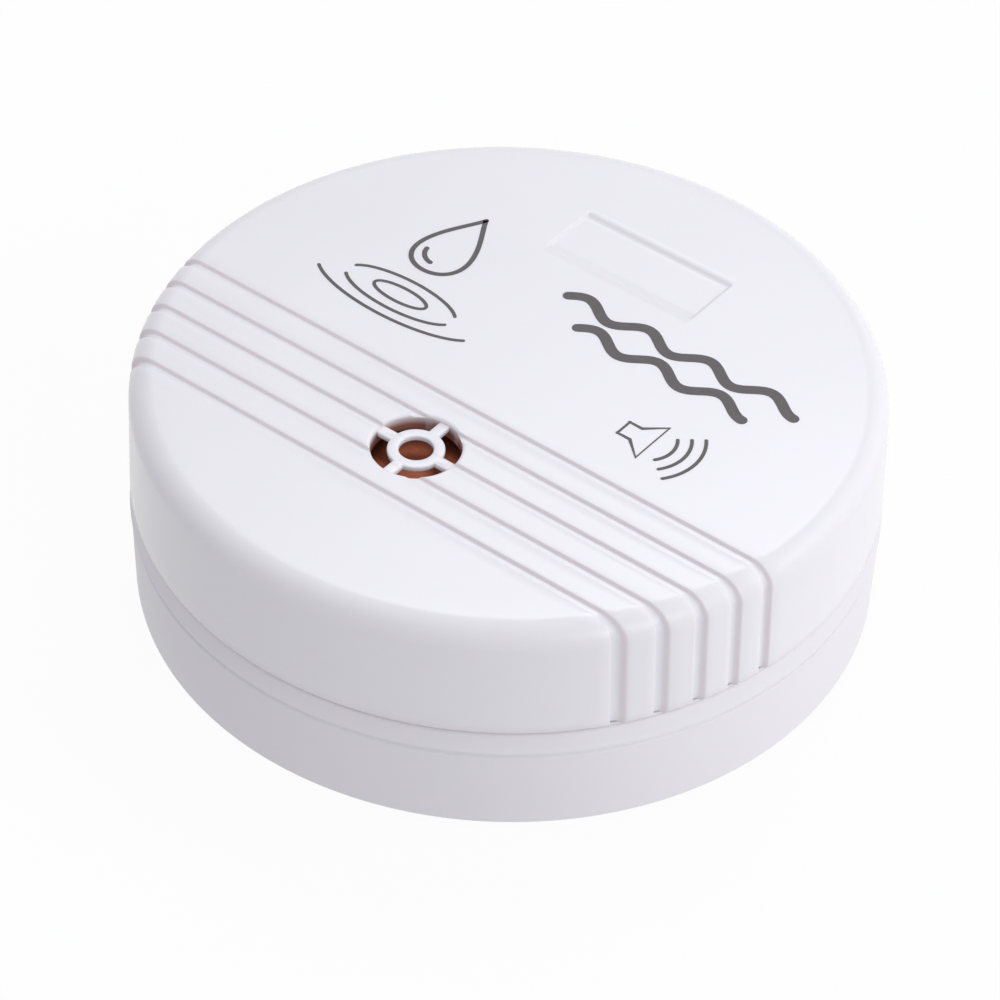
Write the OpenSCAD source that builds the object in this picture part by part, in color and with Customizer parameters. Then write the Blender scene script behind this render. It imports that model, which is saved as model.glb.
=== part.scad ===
// Water leak alarm: a round two-part case that stands on the floor, senses water
// between two metal probes under it and sounds a disc behind the hole in its cover.
// +Z is up, X runs along the grooves, +Y points to the label recess, and the origin
// is the middle of the floor that the case stands on. Millimetres.

/* [Case] */
// Outside diameter of the cover at the seam
case_d = 60; // [58:0.5:72]
// Height of the case without its feet
case_h = 20; // [19.5:0.5:26]
// Height of the base, from its underside to the seam
base_h = 9.7; // [9.2:0.1:11.5]
// Height of the feet moulded under the base
foot_h = 0.5; // [0.4:0.1:1.2]
// Diameter of each foot
foot_d = 5; // [3:0.5:6]
// Thickness of the side walls
wall = 1.8; // [1.5:0.1:2.2]
// Thickness of the cover's top
top_t = 1.5; // [1.4:0.1:2]
// Thickness of the base's floor
floor_t = 1.8; // [1.6:0.1:2.4]
// Radius of the cover's upper edge
edge_r = 2; // [1.2:0.1:3.5]
// Radius of the base's lower edge
bottom_r = 0.7; // [0.3:0.1:1.2]
// How far the cover's wall leans in from the seam to the upper edge
cover_draft = 0.2; // [0:0.05:0.5]
// How far the base's wall leans in from the band to the lower edge
base_draft = 0.25; // [0:0.05:0.5]
// Height of the raised band round the top of the base
band_h = 2.3; // [1.5:0.1:3]
// How far the band stands out from the base's wall
band_proud = 0.2; // [0.1:0.05:0.4]
// Open gap of the seam between cover and base
seam_gap = 0.1; // [0.1:0.05:0.3]
// Rounding of the two edges at the seam
seam_r = 0.3; // [0.1:0.05:0.4]
// Height of the base's tongue inside the cover
tongue_h = 1.6; // [1:0.1:2.5]
// Thickness of the tongue
tongue_t = 1; // [0.8:0.1:1.4]
// Clearance between parts that slide together by hand
slip = 0.15; // [0.1:0.05:0.25]

/* [Grooves] */
// Number of grooves across the cover
groove_n = 5; // [3:1:7]
// Distance from groove to groove
groove_pitch = 2.9; // [2:0.1:3.5]
// Width of a groove
groove_w = 0.7; // [0.5:0.05:1.2]
// Depth of a groove
groove_depth = 0.45; // [0.3:0.05:0.9]
// Distance of the middle groove and the sound hole from the case's axis
vent_offset = 11.6; // [10:0.1:12.5]

/* [Sound hole] */
// Diameter of the sound hole
hole_d = 7.4; // [6:0.1:8]
// Outside diameter of the ring in the sound hole
ring_d = 4.5; // [3.8:0.1:5]
// Diameter of the opening in that ring
ring_bore = 2.7; // [1.5:0.1:3]
// Width of the four spokes
spoke_w = 0.9; // [0.6:0.1:1.2]
// Depth of the ring and spokes below the cover's top
grille_drop = 0.3; // [0.2:0.1:0.6]
// Thickness of the ring and spokes
grille_t = 0.5; // [0.4:0.1:0.8]

/* [Label recess] */
// Length of the shallow recess along the grooves
recess_w = 14.6; // [8:0.1:20]
// Width of the recess
recess_l = 5.6; // [4:0.1:8]
// Depth of the recess
recess_depth = 0.3; // [0.1:0.05:0.6]
// Distance of the recess's middle from the case's axis
recess_y = 16.8; // [14:0.1:19]

/* [Sounder] */
// Diameter of the brass plate
plate_d = 27; // [25:0.5:28]
// Thickness of the brass plate
plate_t = 0.3; // [0.2:0.05:0.5]
// Diameter of the ceramic disc
ceramic_d = 19.6; // [15:0.2:21]
// Thickness of the ceramic disc
ceramic_t = 0.25; // [0.15:0.05:0.4]
// Thickness of the adhesive ring above the plate
adhesive_t = 0.3; // [0.2:0.05:0.5]
// Height of the sound chamber between the cover's top and the adhesive ring
chamber_h = 0.2; // [0.2:0.1:1]
// Width of the ledge that the plate is glued to
ledge_w = 1.5; // [1:0.1:2]
// Wall of the ring round the plate
cup_wall = 1.3; // [0.9:0.1:1.6]

/* [Battery] */
// Diameter of a button cell
cell_d = 11.6; // [11:0.1:12]
// Height of a button cell
cell_h = 5.4; // [5:0.1:5.6]
// Diameter of a cell's cap
cell_cap_d = 8.8; // [7:0.1:9.5]
// Height that the cap stands out of the can
cell_cap_h = 0.3; // [0.2:0.05:0.5]
// Clearance round the cells in their compartment
cell_clear = 0.3; // [0.2:0.05:0.6]
// Distance of the cells' axis from the case's axis
cell_y = 9.5; // [9:0.1:10.5]
// Wall of the battery compartment
comp_wall = 1.2; // [1:0.1:1.5]
// Thickness of the contact plates
contact_t = 0.4; // [0.3:0.05:0.6]
// Width of the contact plates
contact_w = 9; // [7:0.1:10]
// Height of the bump on the positive contact
contact_bump = 0.5; // [0.3:0.05:0.8]
// Length of the compressed battery spring
spring_l = 2.7; // [2.4:0.1:4]
// Wire of the battery spring
spring_wire = 0.5; // [0.4:0.05:0.6]
// Turns of the battery spring
spring_turns = 2.5; // [2:0.5:3]

/* [Battery door] */
// Thickness of the door
door_t = 1.2; // [1:0.1:1.4]
// Margin of the door beyond the compartment on each long side
door_margin = 0.8; // [0.6:0.1:1.2]
// Pocket for the hinge hooks and the snap finger beyond each end wall
door_pocket = 3.4; // [3.2:0.1:4]
// Width of each hinge hook
hook_w = 2.5; // [1.5:0.1:3]
// Reach of the hinge hooks behind the floor's edge
hook_reach = 1.8; // [1:0.1:2.2]
// Thickness of the hinge hooks
hook_t = 0.7; // [0.5:0.1:0.9]
// Width of the snap finger
finger_w = 5; // [3:0.5:7]
// Height of the snap finger above the door
finger_h = 4; // [3:0.1:5]
// Number of grip ribs on the door's outside
grip_n = 5; // [3:1:6]

/* [Probes] */
// Distance from probe to probe
probe_pitch = 18; // [16:0.5:20]
// Distance of the probes from the case's axis, towards the front
probe_y = 16; // [15:0.5:17]
// Diameter of a probe's head
probe_head_d = 6; // [5:0.1:6.5]
// Diameter of a probe's shank
probe_d = 3; // [2.5:0.1:3.2]
// Height of a probe's lowest point above the floor
probe_lift = 0.2; // [0.1:0.05:0.3]
// Depth of the dish that a probe's head sits in
dish_depth = 1; // [0.8:0.1:1.2]
// Width across the flats of the probe nuts
nut_af = 5.5; // [5:0.1:6]
// Height of the probe nuts
nut_h = 2.4; // [1.8:0.1:2.6]

/* [Circuit board] */
// Thickness of the circuit board
board_t = 1.6; // [1:0.1:1.8]
// Height of the board's posts above the base's floor
board_lift = 4.7; // [4.5:0.1:5.2]
// Diameter of the coil's core
coil_d = 8; // [6:0.5:9]
// Height of the coil
coil_h = 5.6; // [4.5:0.1:5.8]
// Diameter of the storage capacitor
cap_d = 5; // [4:0.1:6]
// Height of the storage capacitor
cap_h = 5.6; // [4.5:0.1:5.8]
// Number of chip resistors
resistor_n = 6; // [2:1:6]

/* [Case screws] */
// Diameter of a screw's head
screw_head_d = 4.6; // [4:0.1:5]
// Height of a screw's head
screw_head_h = 1.6; // [1.2:0.1:2]
// Core diameter of a screw
screw_d = 2.2; // [2:0.1:2.4]
// Length of a screw below its head
screw_l = 9; // [7:0.5:10]
// Wall of the screw posts round the screws
post_wall = 1.8; // [1.4:0.1:2]
// Thickness of the web that the screw heads pull on
web_t = 1.6; // [1.2:0.1:2]

/* [Leads] */
// Outside diameter of the insulated leads
lead_d = 1.1; // [0.8:0.1:1.3]

/* [Hidden] */
$fn = 64;

eps = 0.01;      // overlap that joins the shapes of one solid
far = 100;       // longer than anything in the case
touch = 0.05;    // gap of pieces that are pressed together
bore_play = 0.1; // radial play of a screw or pin in its hole

// Heights of the case
case_r = case_d / 2;
z_under = foot_h;
z_top = foot_h + case_h;
z_seam = foot_h + base_h;
z_rim = z_seam + seam_gap;
z_band = z_seam - band_h;
z_floor = z_under + floor_t;
z_ceiling = z_top - top_t;
cover_top_r = case_r - cover_draft;
cover_in_r = case_r - wall;
band_r = case_r + band_proud / 2;
base_wall_r = band_r - band_proud;
base_in_r = base_wall_r - wall;
tongue_r = cover_in_r - slip;
rim_in_r = tongue_r - tongue_t;
rim_drop = 2;  // depth of the thickened rim below the seam
rim_slope = 1; // height of the slope under that rim
corner_r = max(edge_r - wall, 0.4); // inner corner under the cover's upper edge

// Case screws and feet, on one circle
post_r = screw_d / 2 + bore_play + post_wall;
well_r = screw_head_d / 2 + 2 * bore_play;
tube_r = well_r + post_wall / 2;
screw_circle_r = rim_in_r - tube_r;
screw_angles = [90, 210, 330];
foot_angles = [30, 150, 270];
foot_in = 2; // from the base's rounded edge to a foot
foot_circle_r = base_wall_r - base_draft - bottom_r - foot_d / 2 - foot_in;
z_tube = z_seam - rim_drop;
z_well = z_tube - web_t;

// Sounder
cup_in_r = plate_d / 2 + slip;
cup_r = cup_in_r + cup_wall;
ledge_in_r = plate_d / 2 - ledge_w;
z_ledge = z_ceiling - chamber_h;
z_plate = z_ledge - adhesive_t;
z_ceramic = z_plate - plate_t;
z_disc = z_ceramic - ceramic_t;
cup_lip = 0.3;   // wall of the cup below the ceramic
spoke_root = 0.3; // spokes run this far into the hole's wall

// Battery compartment, from the negative contact at -X to the positive contact at +X
cell_n = 3; // each cell is a node
cell_r = cell_d / 2;
stack_l = cell_n * cell_h;
comp_l = stack_l + spring_l + contact_bump + 2 * contact_t;
comp_x = comp_l / 2;
comp_half_y = cell_r + cell_clear;
cell_gap = 0.1; // between the cells and the floor's inner face
z_cell = z_floor + cell_gap + cell_r;
z_roof = z_cell + cell_r + cell_clear;
contact_step = 1; // ledge that a contact plate stands on
x_spring = -comp_x + contact_t;
x_stack = x_spring + spring_l;
x_positive = comp_x - contact_t;
contact_z = z_floor + contact_step;
bump_r = 2;    // of the positive contact's bump, at its foot
tab_w = 2.4;   // solder tab of a contact, bent out through the end wall
tab_out = 2;   // of the tab beyond the end wall
tab_drop = 2.4; // of the tab below the roof
z_tab = z_roof - tab_drop;

// Battery door: its hinge edge is round, and its centre is the hinge axis
door_half = comp_x + comp_wall + door_pocket;
door_half_y = comp_half_y + door_margin;
hinge_r = door_t / 2;
hinge_x = -door_half + slip + hinge_r;
z_hinge = z_under + hinge_r;
z_door = z_under + door_t;
ledge_z = z_door + touch;
z_pocket = z_door + finger_h + comp_wall / 2; // top of the walls beside the snap finger
hook_z = z_floor + touch;
cradle_w = 1.2;
cradle_half_y = 4;
cradle_h = 1.2;     // of the cradles above the floor's inner face
hook_spread = 0.55; // places of the hooks across the door, as a share of its half width
finger_leg = 0.8;   // thickness of the snap finger
finger_span = 2.2;  // over both legs of the snap finger
finger_inset = 1;   // from the door's end to the finger, which leaves room to swing
finger_nose = 0.5;
grip_step = 1.5;
grip_w = 0.7;
grip_h = 0.6 * foot_h;
grip_half_y = 4;
scoop_r = 3;        // finger scoop in the floor at the door's free end
scoop_depth = 0.9;

// Probes and circuit board
probe_x = probe_pitch / 2;
z_seat = z_under + dish_depth;
dish_play = 0.8; // round a probe's head in its dish
dish_r = probe_head_d / 2 + dish_play;
probe_bore_r = probe_d / 2 + bore_play;
boss_r = dish_r + 0.4;
z_board = z_floor + board_lift;
z_board_top = z_board + board_t;
thread_end = 0.6; // of a probe above its nut
z_probe_end = z_board_top + nut_h + thread_end;
board_r = rim_in_r - 2 * slip;
board_edge_y = cell_y - comp_half_y - comp_wall - 0.5;
peg = [17.5, -2.5]; // locating peg of the board, one on each side
peg_d = 1.9;
peg_post_d = 4.6;

// Places on the board
chip_at = [-9, -5.5];
transistor_at = [8.5, -3.5];
coil_at = [0, -6.5];
cap_at = [13.5, -6];
resistor_step = 2.6;
resistor_at = [-resistor_step, -board_r + resistor_step];

// Sizes of the parts on the board
chip = [4.9, 3.9, 1.4];      // body of the chip
chip_lift = 0.15;
chip_pitch = 1.27;           // from leg to leg
chip_leg = [0.4, 0.2];       // width and thickness of a leg
chip_span = 6.2;             // over the legs
chip_shoulder = 0.6;         // height at which a leg leaves the body
transistor_d = 4.6;
transistor_h = 4.2;
transistor_lift = 1.4;
transistor_flat = 1.3;       // from the axis to the flat
transistor_leg = 0.44;
coil_flange = 1.1;
coil_waist_r = coil_d / 4;
coil_margin = 0.4;           // winding inside the flanges' edge
cap_lip = 0.25;              // depth of the crimp round the can
cap_crimp = 1.1;             // height of that crimp
resistor = [2, 1.24, 0.5];

// Routes of the leads
lead_rise = 1.5; // straight stretch above the board
pad_in = 6; // of the sounder's pads from the board's round edge
red_pad = [-4.5, pad_in - board_r];
black_pad = [5, pad_in - board_r];
battery_pad = [12.5, -0.8];
red_end = [-3.5, -vent_offset - 4.5];
black_end = [0, -vent_offset] + polar((ceramic_d + plate_d) / 4, -68);
lead_r = lead_d / 2;
tab_x = comp_x + comp_wall + tab_out / 2;
z_joint = z_tab + contact_t + lead_r + touch; // leads lie on the solder tabs

function polar(r, a) = [r * cos(a), r * sin(a)];
function arc(c, r, a0, a1, n = 10) = [for (i = [0 : n]) c + polar(r, a0 + (a1 - a0) * i / n)];

// The cover's outside, drawn in by a distance, from the axis round to the rim
function cover_outline(inset) = concat(
    [[0, z_rim - 1], [0, z_top - inset]],
    arc([cover_top_r - edge_r, z_top - edge_r], edge_r - inset, 90, 0),
    [[case_r - inset, z_rim + seam_r], [case_r - inset, z_rim - 1]]);

// Points along a route, smoothed between the points chosen
function spline(p, i, t) =
    let (a = p[max(i - 1, 0)], b = p[i], c = p[i + 1], d = p[min(i + 2, len(p) - 1)])
    0.5 * (2 * b + (c - a) * t + (2 * a - 5 * b + 4 * c - d) * t * t + (3 * b - a - 3 * c + d) * t * t * t);
function smooth(p, steps) = concat([p[0]],
    [for (i = [1 : len(p) - 3], k = [0 : steps - 1]) spline(p, i, k / steps)], [p[len(p) - 2], p[len(p) - 1]]);
function unit(v) = v / norm(v);
function heading(p, i) = unit(p[min(i + 1, len(p) - 1)] - p[max(i - 1, 0)]);
function square_to(n, t) = unit(n - (n * t) * t);
function sides(p, n, i = 0) =
    i == len(p) ? [] : let (m = square_to(n, heading(p, i))) concat([m], sides(p, m, i + 1));

// A round tube swept along points, as one closed surface of triangles
module tube(p, r, start, count) {
    n = sides(p, start);
    rings = len(p);
    points = [for (i = [0 : rings - 1], k = [0 : count - 1])
        let (a = 360 * k / count, b = cross(heading(p, i), n[i])) p[i] + r * (cos(a) * n[i] + sin(a) * b)];
    walls = [for (i = [0 : rings - 2], k = [0 : count - 1])
        let (a = i * count + k, b = i * count + (k + 1) % count) each [[a, a + count, b], [b, a + count, b + count]]];
    ends = [for (k = [1 : count - 2]) each
        [[0, k, k + 1], [(rings - 1) * count, (rings - 1) * count + k + 1, (rings - 1) * count + k]]];
    polyhedron(points, concat(walls, ends));
}

module turned(outline) rotate_extrude() polygon(outline);
module at_screws() for (a = screw_angles) translate(polar(screw_circle_r, a)) children();
module at_feet() for (a = foot_angles) translate(polar(foot_circle_r, a)) children();
module at_probes() for (s = [-1, 1]) translate([s * probe_x, -probe_y]) children();
module at_pegs() for (s = [-1, 1]) translate([s * peg.x, peg.y]) children();
module block(x, y, z) translate([x[0], y[0], z[0]]) cube([x[1] - x[0], y[1] - y[0], z[1] - z[0]]);
module column(r, z) translate([0, 0, z[0]]) cylinder(r = r, h = z[1] - z[0]);

// Cover

module cover_shell() difference() {
    intersection() {
        turned(cover_outline(0));
        turned([[0, z_rim], [case_r - seam_r, z_rim], [case_r, z_rim + seam_r], [case_r, z_top], [0, z_top]]);
    }
    turned(concat([[0, z_rim - 1], [0, z_ceiling]],
        arc([cover_top_r - wall - corner_r, z_ceiling - corner_r], corner_r, 90, 0, 4),
        [[cover_in_r, z_rim], [cover_in_r, z_rim - 1]]));
}

module groove_cutter() difference() {
    for (k = [0 : groove_n - 1])
        translate([0, -vent_offset + (k - (groove_n - 1) / 2) * groove_pitch, 0])
            block([-case_r - 1, case_r + 1], [-groove_w / 2, groove_w / 2], [z_rim - 0.5, z_top + 1]);
    turned(cover_outline(groove_depth));
}

module grille() translate([0, -vent_offset, 0]) difference() {
    spoke_l = hole_d / 2 + spoke_root;
    z = [z_top - grille_drop - grille_t, z_top - grille_drop];
    union() {
        column(ring_d / 2, z);
        for (a = [0, 90])
            rotate(a) block([-spoke_l, spoke_l], [-spoke_w / 2, spoke_w / 2], z);
    }
    column(ring_bore / 2, [z_ledge, z_top]);
}

module sounder_cup() translate([0, -vent_offset, 0]) difference() {
    column(cup_r, [z_disc - cup_lip, z_ceiling + eps]);
    column(ledge_in_r, [z_disc - 1, z_ceiling + 1]);
    column(cup_in_r, [z_disc - 1, z_ledge]);
}

module top_cover() color("white") {
    difference() {
        union() {
            difference() {
                cover_shell();
                groove_cutter();
                block([-recess_w / 2, recess_w / 2], [recess_y - recess_l / 2, recess_y + recess_l / 2],
                    [z_top - recess_depth, z_top + 1]);
                translate([0, -vent_offset, 0]) column(hole_d / 2, [z_ceiling - 1, z_top + 1]);
            }
            at_screws() column(post_r, [z_tube, z_ceiling + eps]);
            sounder_cup();
            grille();
        }
        at_screws() column(screw_d / 2 + touch, [z_tube - 1, z_well + screw_l + 1]);
    }
}

// Base

module base_outline() turned(concat(
    [[0, z_under]],
    arc([base_wall_r - base_draft - bottom_r, z_under + bottom_r], bottom_r, -90, 0, 6),
    [[base_wall_r, z_band], [band_r, z_band + seam_r], [band_r, z_seam - seam_r], [band_r - seam_r, z_seam],
        [tongue_r, z_seam], [tongue_r, z_seam + tongue_h - seam_r], [tongue_r - seam_r, z_seam + tongue_h],
        [rim_in_r, z_seam + tongue_h], [rim_in_r, z_seam - rim_drop], [base_in_r, z_seam - rim_drop - rim_slope],
        [base_in_r, z_floor], [0, z_floor]]));

module battery_compartment() translate([0, cell_y, 0]) {
    outer_y = comp_half_y + comp_wall;
    for (s = [-1, 1]) scale([1, s, 1]) {
        block([-comp_x - comp_wall, comp_x + comp_wall], [comp_half_y, outer_y], [z_floor - eps, z_roof + eps]);
        block([-door_half, door_half], [comp_half_y, outer_y], [z_floor - eps, z_pocket]);
    }
    block([-comp_x - comp_wall, comp_x + comp_wall], [-outer_y, outer_y], [z_roof, z_roof + comp_wall]);
    for (s = [-1, 1]) scale([s, 1, 1]) {
        block([comp_x, comp_x + comp_wall], [-outer_y, outer_y], [z_floor, z_roof + comp_wall]);
        block([comp_x - contact_t, comp_x + eps], [-contact_w / 2, contact_w / 2], [z_floor, contact_z]);
        for (t = [-1, 1]) scale([1, t, 1])
            block([comp_x - 2 * contact_t, comp_x + eps], [contact_w / 2 + slip, comp_half_y + eps],
                [z_floor, z_roof + eps]);
    }
}

module door_opening() translate([0, cell_y, 0]) {
    block([-door_half, door_half], [-door_half_y, door_half_y], [z_under - 1, ledge_z]);
    block([-door_half, door_half], [-comp_half_y, comp_half_y], [z_under - 1, z_floor]);
    translate([door_half, 0, 0]) column(scoop_r, [z_under - 1, z_under + scoop_depth]);
}

module contact_slots() for (s = [-1, 1]) scale([s, 1, 1])
    block([comp_x - eps, comp_x + comp_wall + eps],
        [cell_y - tab_w / 2 - slip, cell_y + tab_w / 2 + slip], [z_tab - slip, z_tab + contact_t + slip]);

module base_shell() color("white") difference() {
    union() {
        difference() {
            base_outline();
            door_opening();
        }
        battery_compartment();
        at_screws() column(tube_r, [z_floor - eps, z_tube]);
        at_probes() column(boss_r, [z_floor - eps, z_board]);
        at_pegs() {
            column(peg_post_d / 2, [z_floor - eps, z_board]);
            column(peg_d / 2, [z_board - eps, z_board_top + 0.3]);
        }
        at_feet() column(foot_d / 2, [0, z_under + eps]);
    }
    at_screws() {
        column(well_r, [z_under - 1, z_well]);
        column(screw_d / 2 + 3 * bore_play, [z_under, z_tube + 1]);
    }
    at_probes() {
        column(dish_r, [z_under - 1, z_seat]);
        column(probe_bore_r, [z_under, z_board + 1]);
    }
    contact_slots();
}

module case_screws() color("silver") at_screws() difference() {
    union() {
        column(screw_head_d / 2, [z_well - screw_head_h, z_well]);
        column(screw_d / 2, [z_well - eps, z_well + screw_l - screw_d]);
        translate([0, 0, z_well + screw_l - screw_d - eps])
            cylinder(r1 = screw_d / 2, r2 = screw_d / 8, h = screw_d + eps);
    }
    for (a = [0, 90]) rotate(a)
        block([-screw_head_d / 3, screw_head_d / 3], [-0.35, 0.35], [z_well - screw_head_h - 1, z_well - 0.6]);
}

// Battery door

module hinge_hooks() for (s = [-1, 1]) translate([0, s * comp_half_y * hook_spread, 0]) {
    block([hinge_x, hinge_x + hook_t], [-hook_w / 2, hook_w / 2], [z_door - eps, hook_z + hook_t]);
    block([-door_half - hook_reach, hinge_x + eps], [-hook_w / 2, hook_w / 2], [hook_z, hook_z + hook_t]);
}

module snap_finger() {
    y = [-finger_w / 2, finger_w / 2];
    x = door_half - slip - finger_inset;
    z_end = z_door + finger_h;
    block([x - finger_span, x - finger_span + finger_leg], y, [z_door - eps, z_end]);
    block([x - finger_span, x], y, [z_end - finger_leg, z_end]);
    block([x - finger_leg, x], y, [hook_z, z_end]);
    translate([x - eps, finger_w / 2, hook_z]) rotate([90, 0, 0]) linear_extrude(finger_w)
        polygon([[0, 0], [finger_nose, finger_nose], [finger_nose, 1.4 * finger_nose], [0, 3 * finger_nose]]);
}

module cell_cradles() for (x = [-0.7, 0, 0.7]) translate([x * stack_l / 2, 0, 0]) difference() {
    block([-cradle_w / 2, cradle_w / 2], [-cradle_half_y, cradle_half_y], [z_door - eps, z_floor + cradle_h]);
    translate([-far / 2, 0, z_cell]) rotate([0, 90, 0]) cylinder(r = cell_r + touch, h = far);
}

module battery_door() color("white") translate([0, cell_y, 0]) {
    half_y = door_half_y - slip;
    block([hinge_x, door_half - slip], [-half_y, half_y], [z_under, z_door]);
    translate([hinge_x, half_y, z_hinge]) rotate([90, 0, 0]) cylinder(r = hinge_r, h = 2 * half_y);
    hinge_hooks();
    snap_finger();
    cell_cradles();
    for (k = [0 : grip_n - 1])
        translate([door_half - grip_step * (k + 1.5), 0, 0])
            block([-grip_w / 2, grip_w / 2], [-grip_half_y, grip_half_y], [z_under - grip_h, z_under + eps]);
}

// Battery

module button_cell(k) color("silver")
    translate([x_stack + k * cell_h, cell_y, z_cell]) rotate([0, 90, 0]) {
        cylinder(r = cell_cap_d / 2, h = cell_cap_h + eps);
        rotate_extrude() polygon([[0, cell_cap_h], [cell_r - 0.4, cell_cap_h], [cell_r, cell_cap_h + 0.4],
            [cell_r, cell_h - 0.4], [cell_r - 0.4, cell_h], [0, cell_h]]);
    }

// Spring that narrows from the contact plate to the first cell's cap
spring_big = 3.6;
spring_small = 2.2;
spring_steps = 10;
spring_route = let (n = spring_turns * spring_steps, run = spring_l - spring_wire - 2 * touch)
    [for (i = [0 : n]) let (t = i / n, r = spring_big + (spring_small - spring_big) * t)
        [x_spring + spring_wire / 2 + touch + run * t, cell_y + r * cos(360 * i / spring_steps),
            z_cell + r * sin(360 * i / spring_steps)]];

module battery_spring() color("silver") tube(spring_route, spring_wire / 2, [1, 0, 0], 8);

module contact_blade() translate([0, cell_y, 0]) {
    block([0, contact_t], [-contact_w / 2, contact_w / 2], [contact_z, z_tab + contact_t]);
    block([0, contact_t + comp_wall + tab_out], [-tab_w / 2, tab_w / 2], [z_tab, z_tab + contact_t]);
}

module negative_contact() color("silver") scale([-1, 1, 1]) translate([x_positive, 0, 0]) contact_blade();

module positive_contact() color("silver") {
    translate([x_positive, 0, 0]) contact_blade();
    translate([x_positive + eps, cell_y, z_cell]) rotate([0, -90, 0])
        cylinder(r1 = bump_r, r2 = bump_r * 0.6, h = contact_bump + eps);
}

// Sounder

module disc(r, z) translate([0, -vent_offset, 0]) column(r, z);

module adhesive_ring() color("gainsboro") difference() {
    disc(plate_d / 2, [z_plate, z_ledge]);
    disc(ledge_in_r, [z_plate - 1, z_ledge + 1]);
}

module piezo_plate() color("peru") disc(plate_d / 2, [z_ceramic, z_plate]);
module piezo_ceramic() color("whitesmoke") disc(ceramic_d / 2, [z_disc, z_ceramic]);

// Circuit board

module circuit_board() color("darkgreen") translate([0, 0, z_board]) linear_extrude(board_t) difference() {
    intersection() {
        circle(board_r);
        translate([-far, board_edge_y - 2 * far]) square(2 * far);
    }
    at_screws() circle(tube_r + 2 * slip);
    at_probes() circle(probe_bore_r);
    at_pegs() circle(peg_d / 2 + bore_play);
}

module controller_chip() color("dimgray") translate([chip_at.x, chip_at.y, z_board_top]) {
    half_w = chip.y / 2;
    knee = (half_w + chip_span / 2) / 2;
    block([-chip.x / 2, chip.x / 2], [-half_w, half_w], [chip_lift, chip_lift + chip.z]);
    for (s = [-1, 1], k = [-1.5 : 1.5]) scale([1, s, 1]) translate([k * chip_pitch, 0, 0]) {
        x = [-chip_leg[0] / 2, chip_leg[0] / 2];
        block(x, [half_w - eps, knee], [chip_shoulder, chip_shoulder + chip_leg[1]]);
        block(x, [knee - chip_leg[1], knee], [0, chip_shoulder + chip_leg[1]]);
        block(x, [knee - chip_leg[1], chip_span / 2], [0, chip_leg[1]]);
    }
}

module driver_transistor() color("dimgray") translate([transistor_at.x, transistor_at.y, z_board_top]) {
    r = transistor_d / 2;
    leg = [-transistor_leg / 2, transistor_leg / 2];
    difference() {
        column(r, [transistor_lift, transistor_lift + transistor_h]);
        block([-r, r], [transistor_flat, 2 * r], [0, transistor_lift + 2 * transistor_h]);
    }
    for (k = [-1 : 1]) translate([k * chip_pitch, 0, 0]) block(leg, leg, [0, transistor_lift + eps]);
}

module boost_coil_core() color("dimgray") translate([coil_at.x, coil_at.y, z_board_top]) {
    column(coil_d / 2, [0, coil_flange]);
    column(coil_waist_r, [coil_flange - eps, coil_h - coil_flange + eps]);
    column(coil_d / 2, [coil_h - coil_flange, coil_h]);
}

module boost_coil_winding() color("chocolate") translate([coil_at.x, coil_at.y, z_board_top]) difference() {
    column(coil_d / 2 - coil_margin, [coil_flange + touch, coil_h - coil_flange - touch]);
    column(coil_waist_r + touch, [0, coil_h]);
}

module storage_capacitor() color("midnightblue") translate([cap_at.x, cap_at.y, z_board_top]) {
    r = cap_d / 2;
    turned([[0, 0], [r - cap_lip, 0], [r, cap_lip], [r, cap_crimp - cap_lip], [r - cap_lip, cap_crimp],
        [r, cap_crimp + cap_lip], [r, cap_h - cap_lip], [r - cap_lip, cap_h], [0, cap_h]]);
}

module chip_resistors() color("dimgray") for (k = [0 : resistor_n - 1])
    translate([resistor_at.x + (k % 3) * resistor_step, resistor_at.y + floor(k / 3) * resistor_step, z_board_top])
        block([-resistor.x / 2, resistor.x / 2], [-resistor.y / 2, resistor.y / 2], [0, resistor.z]);

// Probes

module probe(s) color("silver") translate([s * probe_x, -probe_y, 0]) {
    head_h = z_seat - probe_lift;
    dome_h = 0.7 * head_h;
    head_r = probe_head_d / 2;
    dome_r = (head_r * head_r + dome_h * dome_h) / (2 * dome_h);
    dome_a = asin(head_r / dome_r);
    turned(concat(arc([0, probe_lift + dome_r], dome_r, -90, -90 + dome_a, 8), [[head_r, z_seat], [0, z_seat]]));
    column(probe_d / 2, [z_seat - eps, z_probe_end]);
}
module left_probe() probe(-1);
module right_probe() probe(1);

module probe_nuts() color("silver") at_probes() difference() {
    translate([0, 0, z_board_top]) cylinder(d = nut_af / cos(30), h = nut_h, $fn = 6);
    column(probe_d / 2 + touch, [z_board, z_probe_end + 1]);
}

// Leads, from the board up to the sounder and to the battery contacts

module lead(p) tube(smooth(p, 2), lead_r, [0, 1, 0.3], 8);
function rise(pad, h) = [[pad.x, pad.y, z_board_top + eps], [pad.x, pad.y, z_board_top + h]];
function hang(end, z, h) = [[end.x, end.y, z - h], [end.x, end.y, z - touch]];

module piezo_lead_red() color("red") lead(concat(rise(red_pad, lead_rise),
    [[red_pad.x - lead_r, red_pad.y + lead_d, (z_board_top + z_disc) / 2]], hang(red_end, z_disc, lead_rise)));
module piezo_lead_black() color("black") lead(concat(rise(black_pad, lead_rise),
    [[black_pad.x + lead_r, black_pad.y - lead_r, (z_board_top + z_ceramic) / 2]], hang(black_end, z_ceramic, lead_rise)));

module battery_lead(s) scale([s, 1, 1]) lead(concat(rise(battery_pad, lead_rise), [
    [(battery_pad.x + tab_x) / 2, (battery_pad.y + cell_y - tab_w) / 2, z_joint - lead_d],
    [tab_x, cell_y - tab_w, z_joint],
    [tab_x, cell_y + tab_w / 2, z_joint]]));
module battery_lead_red() color("red") battery_lead(1);
module battery_lead_black() color("black") battery_lead(-1);

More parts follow.
